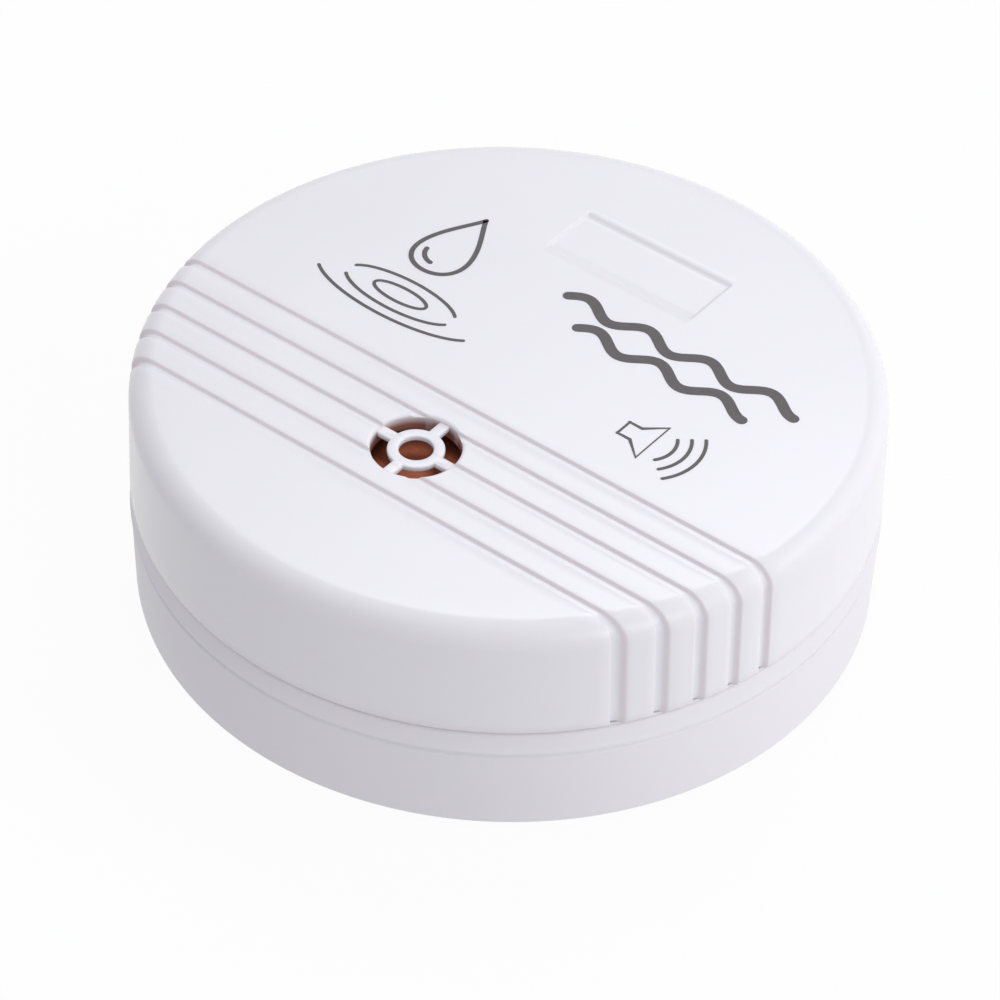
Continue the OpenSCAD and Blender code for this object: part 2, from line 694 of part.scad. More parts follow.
top_cover();
base_shell();
case_screws();
battery_door();
button_cell(0);  // button_cell_1
button_cell(1);  // button_cell_2
button_cell(2);  // button_cell_3
battery_spring();
negative_contact();
positive_contact();
adhesive_ring();
piezo_plate();
piezo_ceramic();
circuit_board();
controller_chip();
driver_transistor();
boost_coil_core();
boost_coil_winding();
storage_capacitor();
chip_resistors();
left_probe();
right_probe();
probe_nuts();
piezo_lead_red();
piezo_lead_black();
battery_lead_red();
battery_lead_black();
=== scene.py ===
# %% [markdown]
# # A water leak alarm, dressed for its portrait
# The alarm is a white plastic puck that stands on the floor. Five grooves run over its cover, a brass
# disc sounds behind a small spoked hole, and two metal probes under it wait for water. The solids come
# from a CAD model, so their sizes are settled. This lesson gives each piece its rounded edges, its fine
# parts and its finish, in the same place and at the same size.

# %% Load the solids
import math

import bmesh
import bpy
import numpy as np
from mathutils import Matrix, Vector


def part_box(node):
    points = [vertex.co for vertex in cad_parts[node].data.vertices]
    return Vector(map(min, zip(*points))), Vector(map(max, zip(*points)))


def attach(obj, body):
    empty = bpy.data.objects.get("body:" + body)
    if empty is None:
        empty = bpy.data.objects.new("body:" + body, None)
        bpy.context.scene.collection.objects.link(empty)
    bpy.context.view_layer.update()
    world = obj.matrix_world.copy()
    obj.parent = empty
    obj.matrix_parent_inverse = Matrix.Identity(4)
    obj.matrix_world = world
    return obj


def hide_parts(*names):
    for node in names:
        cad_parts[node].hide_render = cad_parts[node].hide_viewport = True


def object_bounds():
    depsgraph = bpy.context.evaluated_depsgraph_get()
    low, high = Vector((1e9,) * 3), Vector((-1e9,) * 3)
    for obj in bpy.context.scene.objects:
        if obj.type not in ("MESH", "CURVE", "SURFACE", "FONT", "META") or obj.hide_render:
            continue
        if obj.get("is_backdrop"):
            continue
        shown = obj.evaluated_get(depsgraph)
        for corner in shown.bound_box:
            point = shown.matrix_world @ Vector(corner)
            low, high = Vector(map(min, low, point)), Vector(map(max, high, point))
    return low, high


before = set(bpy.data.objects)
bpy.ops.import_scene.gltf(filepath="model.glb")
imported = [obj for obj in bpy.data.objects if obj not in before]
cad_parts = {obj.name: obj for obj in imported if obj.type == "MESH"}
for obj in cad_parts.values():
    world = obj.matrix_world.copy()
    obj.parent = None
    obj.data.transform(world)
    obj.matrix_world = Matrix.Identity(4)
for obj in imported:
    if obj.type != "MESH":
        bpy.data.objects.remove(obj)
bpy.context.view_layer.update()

MM = 0.001

# %% [markdown]
# ## Sizes
# Everything below is drawn in millimetres and turned into metres once, when a mesh is made. What the
# solids can tell is read from their boxes, so a piece never drifts away from the part that carries it.
# The rest are a few sizes of the case that a box does not show.

# %% Read the sizes of the case from the solids
def box_mm(node):
    """Lowest and highest corner of a solid, in millimetres."""
    low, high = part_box(node)
    return low / MM, high / MM


cover_low, cover_high = box_mm("top_cover")
base_high = box_mm("base_shell")[1]
plate_low, plate_high = box_mm("piezo_plate")
door_low, door_high = box_mm("battery_door")
case_r = cover_high.x
z_top = cover_high.z
z_post_end = cover_low.z
band_r = base_high.x
hole_at = (plate_low + plate_high) / 2
z_under = 0.5
z_floor = 2.3
z_seam = 9.93
seam_gap = 0.24
z_rim = z_seam + seam_gap
wall = 1.8
# Play between pieces that slide together, and how far a cutter reaches past a face
fit_gap = 0.15
past = 1.0
print("case radius", round(case_r, 2), "top", round(z_top, 2), "sound hole at y", round(hole_at.y, 2))

# %% [markdown]
# ## Camera
# The photograph looks down at the alarm from about 42 degrees, with a long lens and a slight lean to
# one side. A camera can be placed by hand and nudged, but here its angles were worked out from the
# curves of the case, so it is built from them: a direction, a distance and a point to look at.

# %% Place the camera
view_turn = math.radians(37.234)
view_rise = math.radians(42.249)
view_lean = math.radians(1.648)
view_distance = 336.06
view_target = (-0.48, -3.21, 11.0)
lens_mm = 151.85

across = Vector((math.cos(view_turn), math.sin(view_turn), 0))
away = Vector((-math.sin(view_turn), math.cos(view_turn), 0))
upward = Vector((0, 0, 1))


def seen_from_camera(right, back, up):
    """A direction given as the photographer sees it, turned into the alarm's own frame."""
    return across * right + away * back + upward * up


look_back = seen_from_camera(0, -math.cos(view_rise), math.sin(view_rise))
look_up = seen_from_camera(0, math.sin(view_rise), math.cos(view_rise))
aim = upward * view_target[2] + across * view_target[0] + look_up * view_target[1]
lean_x = across * math.cos(view_lean) + look_up * math.sin(view_lean)
lean_y = look_up * math.cos(view_lean) - across * math.sin(view_lean)

camera_data = bpy.data.cameras.new("photo_camera")
camera_data.lens = lens_mm
camera_data.sensor_width = 36
camera = bpy.data.objects.new("photo_camera", camera_data)
bpy.context.scene.collection.objects.link(camera)
turn = Matrix((lean_x, lean_y, look_back)).transposed().to_4x4()
camera.matrix_world = Matrix.Translation((aim + look_back * view_distance) * MM) @ turn
bpy.context.scene.camera = camera
print("camera at", [round(v, 4) for v in camera.matrix_world.translation])

# %% [markdown]
# ## Helpers for meshes
# A mesh is a list of points and a list of faces. These few helpers make one, read back a finished
# object, and add or cut shapes with the exact Boolean solver. A finished object always sits at the
# origin, unturned, with its place in its mesh.

# %% Make, read back and shade a mesh
def new_object(name, points, faces):
    """An object at the origin from points in millimetres."""
    mesh = bpy.data.meshes.new(name)
    mesh.from_pydata([tuple(c * MM for c in p) for p in points], [], faces)
    made = bpy.data.objects.new(name, mesh)
    bpy.context.scene.collection.objects.link(made)
    return made


def settle(made):
    """Turns an object's modifiers into a plain mesh and removes them."""
    graph = bpy.context.evaluated_depsgraph_get()
    mesh = bpy.data.meshes.new_from_object(made.evaluated_get(graph))
    made.modifiers.clear()
    old = made.data
    made.data = mesh
    mesh.name = made.name
    bpy.data.meshes.remove(old)
    return made


def outward(made):
    """Merges doubled points and turns every face outwards."""
    shape = bmesh.new()
    shape.from_mesh(made.data)
    bmesh.ops.remove_doubles(shape, verts=shape.verts, dist=1e-7)
    bmesh.ops.recalc_face_normals(shape, faces=shape.faces)
    shape.to_mesh(made.data)
    shape.free()
    return made


def shade(made, degrees=35):
    """Smooth shading that keeps edges sharper than the angle."""
    made.data.polygons.foreach_set("use_smooth", [True] * len(made.data.polygons))
    made.data.set_sharp_from_angle(angle=math.radians(degrees))
    return made


def joined(name, parts):
    """One object from several, which are removed."""
    points = []
    faces = []
    for part in parts:
        start = len(points)
        points += [tuple(v.co / MM) for v in part.data.vertices]
        faces += [[start + i for i in p.vertices] for p in part.data.polygons]
        bpy.data.objects.remove(part)
    return new_object(name, points, faces)


def combine(made, operation, parts, overlapping=False):
    """Adds shapes to an object or cuts them out of it, and removes them."""
    tool = joined("tool", parts)
    step = made.modifiers.new("combine", "BOOLEAN")
    step.operation = operation
    step.solver = "EXACT"
    step.use_self = overlapping
    step.object = tool
    settle(made)
    bpy.data.objects.remove(tool)
    return made


def block(x, y, z):
    """A box between two values on each axis."""
    points = [(a, b, c) for c in z for b in y for a in x]
    faces = [(0, 2, 3, 1), (4, 5, 7, 6), (0, 1, 5, 4), (1, 3, 7, 5), (3, 2, 6, 7), (2, 0, 4, 6)]
    return new_object("block", points, faces)


# %% [markdown]
# ## Geometry Nodes helper
# Pieces that repeat, or that follow a path or a rule, are made by Geometry Nodes. Each tree has named
# inputs for its sizes. The helper sets those inputs on a modifier by their identifiers, bakes the
# result into a plain mesh and removes the modifier, because a library part should not depend on it.

# %% Build and run a node tree
SOCKETS = {
    "geometry": "NodeSocketGeometry",
    "object": "NodeSocketObject",
    "material": "NodeSocketMaterial",
    "length": "NodeSocketFloat",
    "count": "NodeSocketInt",
    "vector": "NodeSocketVector",
}


class Tree:
    """A Geometry Nodes tree that is written as short calls."""

    def __init__(self, name, **inputs):
        self.group = bpy.data.node_groups.new(name, "GeometryNodeTree")
        for label, kind in inputs.items():
            self.group.interface.new_socket(label, in_out="INPUT", socket_type=SOCKETS[kind])
        self.group.interface.new_socket("Geometry", in_out="OUTPUT", socket_type=SOCKETS["geometry"])
        self.source = self.group.nodes.new("NodeGroupInput")
        self.sink = self.group.nodes.new("NodeGroupOutput")

    def add(self, kind, settings=None, **links):
        """A node with its properties and its inputs, each a socket or a value."""
        node = self.group.nodes.new(kind)
        for key, value in (settings or {}).items():
            setattr(node, key, value)
        for key, value in links.items():
            self.feed(node.inputs[key.replace("_", " ")], value)
        return node

    def feed(self, socket, value):
        """Links an output to a socket, or sets the socket's own value."""
        if isinstance(value, bpy.types.NodeSocket):
            self.group.links.new(value, socket)
        else:
            socket.default_value = value

    def given(self, label):
        return self.source.outputs[label]

    def math(self, operation, first, second=0.0):
        node = self.group.nodes.new("ShaderNodeMath")
        node.operation = operation
        self.feed(node.inputs[0], first)
        self.feed(node.inputs[1], second)
        return node.outputs[0]

    def end(self, geometry):
        """Real geometry, smooth, with the piece's material."""
        real = self.add("GeometryNodeRealizeInstances", Geometry=geometry)
        smooth = self.add("GeometryNodeSetShadeSmooth", Geometry=real.outputs["Geometry"])
        coat = self.add("GeometryNodeSetMaterial", Geometry=smooth.outputs["Geometry"],
                        Material=self.given("Material"))
        self.feed(self.sink.inputs["Geometry"], coat.outputs["Geometry"])

    def run(self, name, **values):
        """Bakes the tree with these inputs into a new object."""
        made = new_object(name, [], [])
        step = made.modifiers.new("nodes", "NODES")
        step.node_group = self.group
        for item in self.group.interface.items_tree:
            if item.in_out == "INPUT":
                step[item.identifier] = values[item.name]
        return settle(made)


# %% [markdown]
# ## Lathe
# Most of the alarm is round: the base, the probes, the cells, the sounder. Blender's Screw modifier can
# turn an outline, but a small tree shows the rule better. A grid has one column for each step round and
# one row for each point of the outline. Each grid point takes its outline point and turns it about Z.

# %% Tree that turns an outline about the Z axis
def lathe_tree():
    tree = Tree("turned_piece", Outline="object", Steps="count", Material="material")
    outline = tree.add("GeometryNodeObjectInfo", Object=tree.given("Outline")).outputs["Geometry"]
    count = tree.add("GeometryNodeAttributeDomainSize", Geometry=outline).outputs["Point Count"]
    columns = tree.math("ADD", tree.given("Steps"), 1.0)
    grid = tree.add("GeometryNodeMeshGrid", Vertices_X=columns, Vertices_Y=count)
    index = tree.add("GeometryNodeInputIndex").outputs[0]
    row = tree.math("MODULO", index, count)
    column = tree.math("FLOOR", tree.math("DIVIDE", index, count))
    angle = tree.math("MULTIPLY", tree.math("DIVIDE", column, tree.given("Steps")), 2 * math.pi)
    place = tree.add("GeometryNodeInputPosition").outputs[0]
    point = tree.add("GeometryNodeSampleIndex", {"data_type": "FLOAT_VECTOR"}, Geometry=outline,
                     Value=place, Index=row).outputs[0]
    turned = tree.add("ShaderNodeVectorRotate", {"rotation_type": "Z_AXIS"}, Vector=point, Angle=angle)
    moved = tree.add("GeometryNodeSetPosition", Geometry=grid.outputs["Mesh"], Position=turned.outputs[0])
    merged = tree.add("GeometryNodeMergeByDistance", Geometry=moved.outputs["Geometry"], Distance=1e-7)
    tree.end(merged.outputs["Geometry"])
    return tree


LATHE = lathe_tree()
print("lathe tree:", len(LATHE.group.nodes), "nodes")

# %% Round the corners of an outline
def rounded(corners, steps=5):
    """Points of an outline of (r, z, corner radius), each corner drawn as an arc."""
    points = []
    for i, (r, z, radius) in enumerate(corners):
        here = Vector((r, z))
        if radius == 0 or i in (0, len(corners) - 1):
            points.append(here)
            continue
        to_last = (Vector(corners[i - 1][:2]) - here).normalized()
        to_next = (Vector(corners[i + 1][:2]) - here).normalized()
        half = to_last.angle(to_next) / 2
        middle = here + (to_last + to_next).normalized() * (radius / math.sin(half))
        first = here + to_last * (radius / math.tan(half)) - middle
        last = here + to_next * (radius / math.tan(half)) - middle
        sweep = first.angle_signed(last)
        for k in range(steps + 1):
            arc = first.copy()
            arc.rotate(Matrix.Rotation(-sweep * k / steps, 2))
            points.append(middle + arc)
    return points


def turned_piece(name, corners, at=(0, 0), steps=96, material=None):
    """A closed piece turned from a rounded outline, moved to its axis."""
    points = [(r + 0.0, 0.0, z) for r, z in rounded(corners)]
    outline = new_object("outline", points, [])
    made = LATHE.run(name, Outline=outline, Steps=steps, Material=material)
    bpy.data.objects.remove(outline)
    made.data.transform(Matrix.Translation(Vector((at[0], at[1], 0)) * MM))
    return outward(made)


def column(r, z, at=(0, 0), steps=48):
    """A plain round bar, for adding and cutting."""
    return turned_piece("column", [(0, z[0], 0), (r, z[0], 0), (r, z[1], 0), (0, z[1], 0)], at, steps)


# %% [markdown]
# ## Shared effects for the finishes
# Moulded plastic is never one flat colour: it clouds slightly, its gloss changes from patch to patch,
# and the mould leaves a fine grain. Rubbed metal carries hairline scratches. Several finishes need these
# two effects, so each is one shader group with its own inputs, placed in every material that uses it.

# %% Shader helpers
def place(tree, kind, settings=None, **inputs):
    """A shader node with its properties and its inputs, each a socket or a value."""
    node = tree.nodes.new(kind)
    for key, value in (settings or {}).items():
        setattr(node, key, value)
    for key, value in inputs.items():
        socket = node.inputs[key.replace("_", " ")]
        if isinstance(value, bpy.types.NodeSocket):
            tree.links.new(value, socket)
        else:
            socket.default_value = value
    return node


def effect_group(name, inputs, outputs):
    """An empty shader group with named sockets."""
    group = bpy.data.node_groups.new(name, "ShaderNodeTree")
    for label, kind in inputs.items():
        group.interface.new_socket(label, in_out="INPUT", socket_type=kind)
    for label, kind in outputs.items():
        group.interface.new_socket(label, in_out="OUTPUT", socket_type=kind)
    return group, group.nodes.new("NodeGroupInput"), group.nodes.new("NodeGroupOutput")


FLOAT = "NodeSocketFloat"
COLOUR = "NodeSocketColor"
VECTOR = "NodeSocketVector"


def spread(group, value, low, high):
    """Maps a noise value from its usual middle range to a range of its own."""
    node = group.nodes.new("ShaderNodeMapRange")
    node.inputs["From Min"].default_value = 0.3
    node.inputs["From Max"].default_value = 0.7
    for socket, source in (("Value", value), ("To Min", low), ("To Max", high)):
        if isinstance(source, bpy.types.NodeSocket):
            group.links.new(source, node.inputs[socket])
        else:
            node.inputs[socket].default_value = source
    return node.outputs["Result"]


# %% Cloudy colour, uneven gloss and fine grain
def grain_group():
    group, source, sink = effect_group(
        "clouds_and_grain",
        {"Vector": VECTOR, "Colour": COLOUR, "Cloud Colour": COLOUR, "Cloud Scale": FLOAT,
         "Grain Scale": FLOAT, "Gloss Low": FLOAT, "Gloss High": FLOAT},
        {"Color": COLOUR, "Roughness": FLOAT, "Height": FLOAT})
    given = source.outputs
    clouds = place(group, "ShaderNodeTexNoise", Vector=given["Vector"], Scale=given["Cloud Scale"],
                   Detail=4.0, Roughness=0.55).outputs["Fac"]
    grain = place(group, "ShaderNodeTexNoise", Vector=given["Vector"], Scale=given["Grain Scale"],
                  Detail=3.0, Roughness=0.6).outputs["Fac"]
    mix = place(group, "ShaderNodeMix", {"data_type": "RGBA"})
    group.links.new(spread(group, clouds, 0.0, 1.0), mix.inputs["Factor"])
    group.links.new(given["Colour"], mix.inputs[6])
    group.links.new(given["Cloud Colour"], mix.inputs[7])
    both = place(group, "ShaderNodeMath", {"operation": "MULTIPLY_ADD"})
    group.links.new(grain, both.inputs[0])
    both.inputs[1].default_value = 0.4
    scaled = place(group, "ShaderNodeMath", {"operation": "MULTIPLY"})
    group.links.new(clouds, scaled.inputs[0])
    scaled.inputs[1].default_value = 0.6
    group.links.new(scaled.outputs[0], both.inputs[2])
    group.links.new(mix.outputs[2], sink.inputs["Color"])
    group.links.new(spread(group, both.outputs[0], given["Gloss Low"], given["Gloss High"]),
                    sink.inputs["Roughness"])
    group.links.new(grain, sink.inputs["Height"])
    return group


GRAIN = grain_group()
print("grain group:", len(GRAIN.nodes), "nodes")

# %% Hairline scratches
def scratch_group():
    group, source, sink = effect_group(
        "hairlines", {"Vector": VECTOR, "Stretch": VECTOR, "Scale": FLOAT},
        {"Mask": FLOAT, "Height": FLOAT})
    given = source.outputs
    stretched = place(group, "ShaderNodeVectorMath", {"operation": "MULTIPLY"})
    group.links.new(given["Vector"], stretched.inputs[0])
    group.links.new(given["Stretch"], stretched.inputs[1])
    lines = place(group, "ShaderNodeTexNoise", Vector=stretched.outputs[0], Scale=given["Scale"],
                  Detail=5.0, Roughness=0.7, Distortion=0.3).outputs["Fac"]
    ramp = place(group, "ShaderNodeMapRange", Value=lines, From_Min=0.52, From_Max=0.72)
    group.links.new(ramp.outputs["Result"], sink.inputs["Mask"])
    group.links.new(lines, sink.inputs["Height"])
    return group


SCRATCHES = scratch_group()
print("hairline group:", len(SCRATCHES.nodes), "nodes")

# %% A finish from the shared grain
def finish(name, colour, cloud, gloss, cloud_scale=60.0, grain_scale=2500.0,
           bump=0.05, metallic=0.0, **extra):
    """A material whose colour, gloss and grain come from the shared group."""
    material = bpy.data.materials.new(name)
    material.use_nodes = True
    tree = material.node_tree
    shader = tree.nodes["Principled BSDF"]
    where = place(tree, "ShaderNodeTexCoord").outputs["Object"]
    grain = place(tree, "ShaderNodeGroup", {"node_tree": GRAIN}, Vector=where, Colour=(*colour, 1.0),
                  Cloud_Colour=(*cloud, 1.0), Cloud_Scale=cloud_scale, Grain_Scale=grain_scale,
                  Gloss_Low=gloss[0], Gloss_High=gloss[1])
    relief = place(tree, "ShaderNodeBump", Height=grain.outputs["Height"], Strength=bump, Distance=0.0001)
    tree.links.new(grain.outputs["Color"], shader.inputs["Base Color"])
    tree.links.new(grain.outputs["Roughness"], shader.inputs["Roughness"])
    tree.links.new(relief.outputs["Normal"], shader.inputs["Normal"])
    shader.inputs["Metallic"].default_value = metallic
    for label, value in extra.items():
        shader.inputs[label.replace("_", " ")].default_value = value
    return material


def scratched(material, stretch, scale, colour, amount):
    """Adds hairline scratches: they lighten the colour and break up the shine."""
    tree = material.node_tree
    shader = tree.nodes["Principled BSDF"]
    where = next(n for n in tree.nodes if n.type == "TEX_COORD").outputs["Object"]
    lines = place(tree, "ShaderNodeGroup", {"node_tree": SCRATCHES},
                  Vector=where, Stretch=stretch, Scale=scale)
    tint = place(tree, "ShaderNodeMix", {"data_type": "RGBA"})
    tree.links.new(lines.outputs["Mask"], tint.inputs["Factor"])
    tree.links.new(shader.inputs["Base Color"].links[0].from_socket, tint.inputs[6])
    tint.inputs[7].default_value = (*colour, 1.0)
    tree.links.new(tint.outputs[2], shader.inputs["Base Color"])
    rough = place(tree, "ShaderNodeMath", {"operation": "MULTIPLY_ADD"})
    tree.links.new(lines.outputs["Mask"], rough.inputs[0])
    rough.inputs[1].default_value = amount
    tree.links.new(shader.inputs["Roughness"].links[0].from_socket, rough.inputs[2])
    tree.links.new(rough.outputs[0], shader.inputs["Roughness"])
    return material


# %% [markdown]
# ## Finishes
# The case is white moulded plastic with a soft gloss and a faint lilac cast. The base comes from another
# mould and has a softer gloss. Metals differ by their plating and their scratches. Every number that is
# the same all over a surface sits on the shader itself.

# %% Plastics
cover_white = finish("cover_white", (0.828, 0.82, 0.86), (0.843, 0.835, 0.875), (0.2, 0.27),
                     Subsurface_Weight=0.15, Subsurface_Radius=(1.0, 0.6, 0.5), Subsurface_Scale=0.001)
base_white = finish("base_white", (0.803, 0.79, 0.832), (0.823, 0.81, 0.847), (0.42, 0.48),
                    bump=0.03, Specular_IOR_Level=0.4)
print_ink = finish("print_ink", (0.06, 0.052, 0.056), (0.09, 0.08, 0.085), (0.4, 0.55), cloud_scale=900.0)
moulded_black = finish("moulded_black", (0.018, 0.018, 0.02), (0.03, 0.03, 0.032), (0.45, 0.6), bump=0.2)
sleeve_blue = finish("sleeve_blue", (0.02, 0.035, 0.12), (0.03, 0.05, 0.16), (0.25, 0.35))
red_pvc = finish("red_pvc", (0.5, 0.02, 0.02), (0.6, 0.03, 0.025), (0.35, 0.45), cloud_scale=300.0)
black_pvc = finish("black_pvc", (0.015, 0.015, 0.016), (0.03, 0.03, 0.03), (0.35, 0.45), cloud_scale=300.0)
foam_tape = finish("foam_tape", (0.6, 0.59, 0.55), (0.75, 0.74, 0.7), (0.75, 0.9),
                   grain_scale=4000.0, bump=0.4)
solder_mask = finish("solder_mask", (0.012, 0.1, 0.04), (0.03, 0.2, 0.08), (0.22, 0.32), cloud_scale=700.0)
silvered = finish("silvered_ceramic", (0.62, 0.61, 0.58), (0.72, 0.71, 0.68), (0.4, 0.6), metallic=0.6)
print("plastics:", cover_white.name, base_white.name, print_ink.name)

# %% Metals
nickel = scratched(finish("nickel_plate", (0.62, 0.61, 0.59), (0.7, 0.69, 0.67), (0.2, 0.32), metallic=1.0),
                   (1.0, 12.0, 1.0), 500.0, (0.8, 0.79, 0.77), 0.12)
probe_steel = scratched(finish("probe_steel", (0.66, 0.66, 0.66), (0.72, 0.72, 0.72), (0.1, 0.18),
                               metallic=1.0),
                        (8.0, 1.0, 1.0), 600.0, (0.82, 0.82, 0.82), 0.1)
cell_steel = scratched(finish("cell_steel", (0.66, 0.655, 0.64), (0.73, 0.725, 0.71), (0.16, 0.26),
                              metallic=1.0),
                       (1.0, 9.0, 9.0), 400.0, (0.82, 0.815, 0.8), 0.12)
brass = scratched(finish("tarnished_brass", (0.21, 0.055, 0.026), (0.27, 0.078, 0.037), (0.42, 0.58),
                         cloud_scale=250.0, metallic=0.85),
                  (1.0, 14.0, 1.0), 300.0, (0.32, 0.11, 0.06), 0.08)
copper = finish("enamelled_copper", (0.5, 0.16, 0.05), (0.6, 0.22, 0.08), (0.2, 0.3), metallic=0.9)
print("metals:", nickel.name, probe_steel.name, cell_steel.name, brass.name, copper.name)


# %% Give a finished piece its finish and its place
def hand_over(made, material, body, slot, *nodes):
    """Gives a piece its finish and its place in the assembly."""
    made.data.materials.clear()
    made.data.materials.append(material)
    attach(made, body)
    if nodes:
        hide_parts(*nodes)
    print(made.name, "faces:", len(made.data.polygons))
    return made


# %% [markdown]
# ## Top cover
# The cover is one moulding: a flat top, a round upper edge and an almost upright wall. Five grooves run
# straight across it, over the edge and down the wall on both sides. Cutting them with a Boolean leaves
# knife-sharp lips that no mould has. So the cover is drawn as slices along Y: every slice has the same
# outline, and inside a groove that outline is drawn in a little. The lips get their roundness from a few
# slices at each side of a groove.

# %% Sizes of the cover
edge_r = 2.0
cover_draft = 0.2
ink_film = 0.02
top_t = 1.5
seam_r = 0.45
corner_r = 0.4
z_skin = z_top - ink_film
z_ceiling = z_top - top_t
flat_r = case_r - cover_draft - edge_r
cover_in_r = case_r - wall
slice_end = 27.0

groove_n = 5
groove_pitch = 2.9
groove_half_w = 0.46
groove_depth = 0.26
wall_groove_depth = 0.42
wall_front_lip = 1.45
wall_back_lip = 0.85
groove_section = [(0.0, 1.0), (0.4, 1.0), (0.58, 0.95), (0.68, 0.78), (0.76, 0.45), (0.82, 0.2),
                  (0.9, 0.05), (1.0, 0.0)]
groove_at = [hole_at.y + (k - (groove_n - 1) / 2) * groove_pitch for k in range(groove_n)]

recess_w = 14.6
recess_l = 5.6
recess_y = 16.8
recess_depth = 0.14
recess_lip = 0.2
print("grooves at y", [round(y, 2) for y in groove_at])

# %% Depth of the grooves and of the label recess
def groove_cut(y):
    """Share of a groove's full depth at a slice, and the groove that is nearest."""
    centre = min(groove_at, key=lambda at: abs(y - at))
    offsets, depths = zip(*groove_section)
    return float(np.interp(abs(y - centre) / groove_half_w, offsets, depths)), centre


def spread_on_wall(y, centre, share):
    """Grooves open a little wider down the wall, with a rounder lip towards the front."""
    reach = wall_front_lip if y < centre else wall_back_lip
    if abs(y - centre) > groove_half_w + 1e-6:
        return y
    return centre + (y - centre) * (1 + (reach - 1) * share)


def recess_sunk(x, y):
    """How far the label recess sinks the top at a point."""
    inside = min(recess_w / 2 - abs(x), recess_l / 2 - abs(y - recess_y))
    return recess_depth * min(max(inside / recess_lip, 0.0), 1.0)


# %% Stations of the slices along Y
def slice_stations():
    far = math.asin(slice_end / case_r)
    even = [case_r * math.sin(a) for a in np.linspace(-far, far, 72)]
    clear = groove_half_w * wall_front_lip + 0.1
    stations = [y for y in even if min(abs(y - c) for c in groove_at) > clear]
    for centre in groove_at:
        stations += [centre + s * offset * groove_half_w for offset, _ in groove_section for s in (-1, 1)]
    for side in (-1, 1):
        edge = recess_y + side * recess_l / 2
        stations += [edge, edge - side * recess_lip, edge - side * recess_lip / 2]
    return sorted(set(round(y, 4) for y in stations))


# %% Outline of one slice
flat_stations = [0.0, 1.5, 3.0, 4.5, 6.0, 7.04, 7.1, 7.2, 7.3, 7.36, 9.0, 11.0, 13.0, 15.0, 17.0]
full_flat_y = 20.0
edge_steps = 14
wall_steps = 8


def arc_points(r, z, radius, first, last, steps):
    """Points of a quarter round in the (r, z) plane."""
    angles = [math.radians(first + (last - first) * k / steps) for k in range(steps + 1)]
    return [(r + radius * math.cos(a), z + radius * math.sin(a)) for a in angles]


def shell_outline(cut):
    """Points (r, z, share of the way to the wall) from the edge of the flat top round to the ceiling."""
    z_high = z_skin - edge_r
    z_low = z_rim + seam_r
    outer = []
    for k in range(edge_steps + 1):
        share = k / edge_steps
        inset = cut * (groove_depth + (wall_groove_depth - groove_depth) * share)
        a = math.radians(90 * (1 - share))
        bend = edge_r - inset
        outer.append((flat_r + bend * math.cos(a), z_high + bend * math.sin(a), share))
    inset = cut * wall_groove_depth
    for k in range(1, wall_steps):
        down = k / wall_steps
        outer.append((case_r - cover_draft * (1 - down) - inset, z_high + (z_low - z_high) * down, 1.0))
    outer += [(r, z, 1.0) for r, z in arc_points(case_r - seam_r - inset, z_low, seam_r, 0, -90, 5)]
    inner = [(cover_in_r, z_rim), (cover_in_r - cover_draft, z_ceiling - corner_r)]
    inner += arc_points(cover_in_r - cover_draft - corner_r, z_ceiling - corner_r, corner_r, 0, 90, 4)
    return outer + [(r, z, 0.0) for r, z in inner]


def slice_points(y):
    """One closed slice of the cover, from the middle of its top round to the right."""
    cut, centre = groove_cut(y)
    half = []
    for r, z, share in shell_outline(cut):
        y_here = spread_on_wall(y, centre, share)
        half.append((math.sqrt(r * r - y_here * y_here), y_here, z))
    full = math.sqrt(flat_r ** 2 - full_flat_y ** 2)
    shrink = min(1.0, half[0][0] / full)
    flat = [x * shrink for x in flat_stations]
    top = [(x, y, z_skin - cut * groove_depth - recess_sunk(x, y)) for x in flat]
    ceiling = [(x, y, z_ceiling) for x in reversed(flat)]
    right = top + half + ceiling
    left = [(-x, y_here, z) for x, y_here, z in reversed(right[1:-1])]
    return right + left


# %% Skin of the cover
def end_cap(y, ring, points, faces):
    """Closes the cover beyond the last slice with arcs about its axis."""
    outline = shell_outline(0.0)
    n = len(ring)
    flat_n = len(flat_stations)
    arc_n = 26
    rows = []
    for j, (r, z, _) in enumerate(outline):
        right = ring[flat_n + j]
        left = ring[n - flat_n - j]
        reach = math.acos(slice_end / r)
        row = [right]
        for k in range(1, arc_n):
            a = reach * (1 - 2 * k / arc_n)
            row.append(len(points))
            points.append((r * math.sin(a), math.copysign(r * math.cos(a), y), z))
        rows.append(row + [left])
    for lower, upper in zip(rows, rows[1:]):
        faces += [(lower[k], lower[k + 1], upper[k + 1], upper[k]) for k in range(arc_n)]
    top = [ring[-k] for k in range(flat_n - 1, 0, -1)] + ring[:flat_n]
    middle = flat_n + len(outline)
    under = ring[middle:middle + 2 * flat_n - 1]
    faces.append(top + rows[0])
    faces.append(under + rows[-1][::-1])


def cover_skin():
    points = []
    faces = []
    rings = []
    for y in slice_stations():
        outline = slice_points(y)
        rings.append(list(range(len(points), len(points) + len(outline))))
        points += outline
    for first, second in zip(rings, rings[1:]):
        n = len(first)
        faces += [(first[k], first[(k + 1) % n], second[(k + 1) % n], second[k]) for k in range(n)]
    end_cap(-slice_end, rings[0], points, faces)
    end_cap(slice_end, rings[-1], points, faces)
    return outward(new_object("cover", points, faces))


cover = cover_skin()
print("cover skin:", len(cover.data.vertices), "points")

# %% [markdown]
# ### Sound hole, grille and posts
# The hole is turned with a rounded lip and cut out. The grille in it is a ring on four spokes, set a
# little below the top. Under the top hang a cup for the sounder and three screw posts. They are plain
# round shapes, so they are turned on the lathe and added with a Boolean.

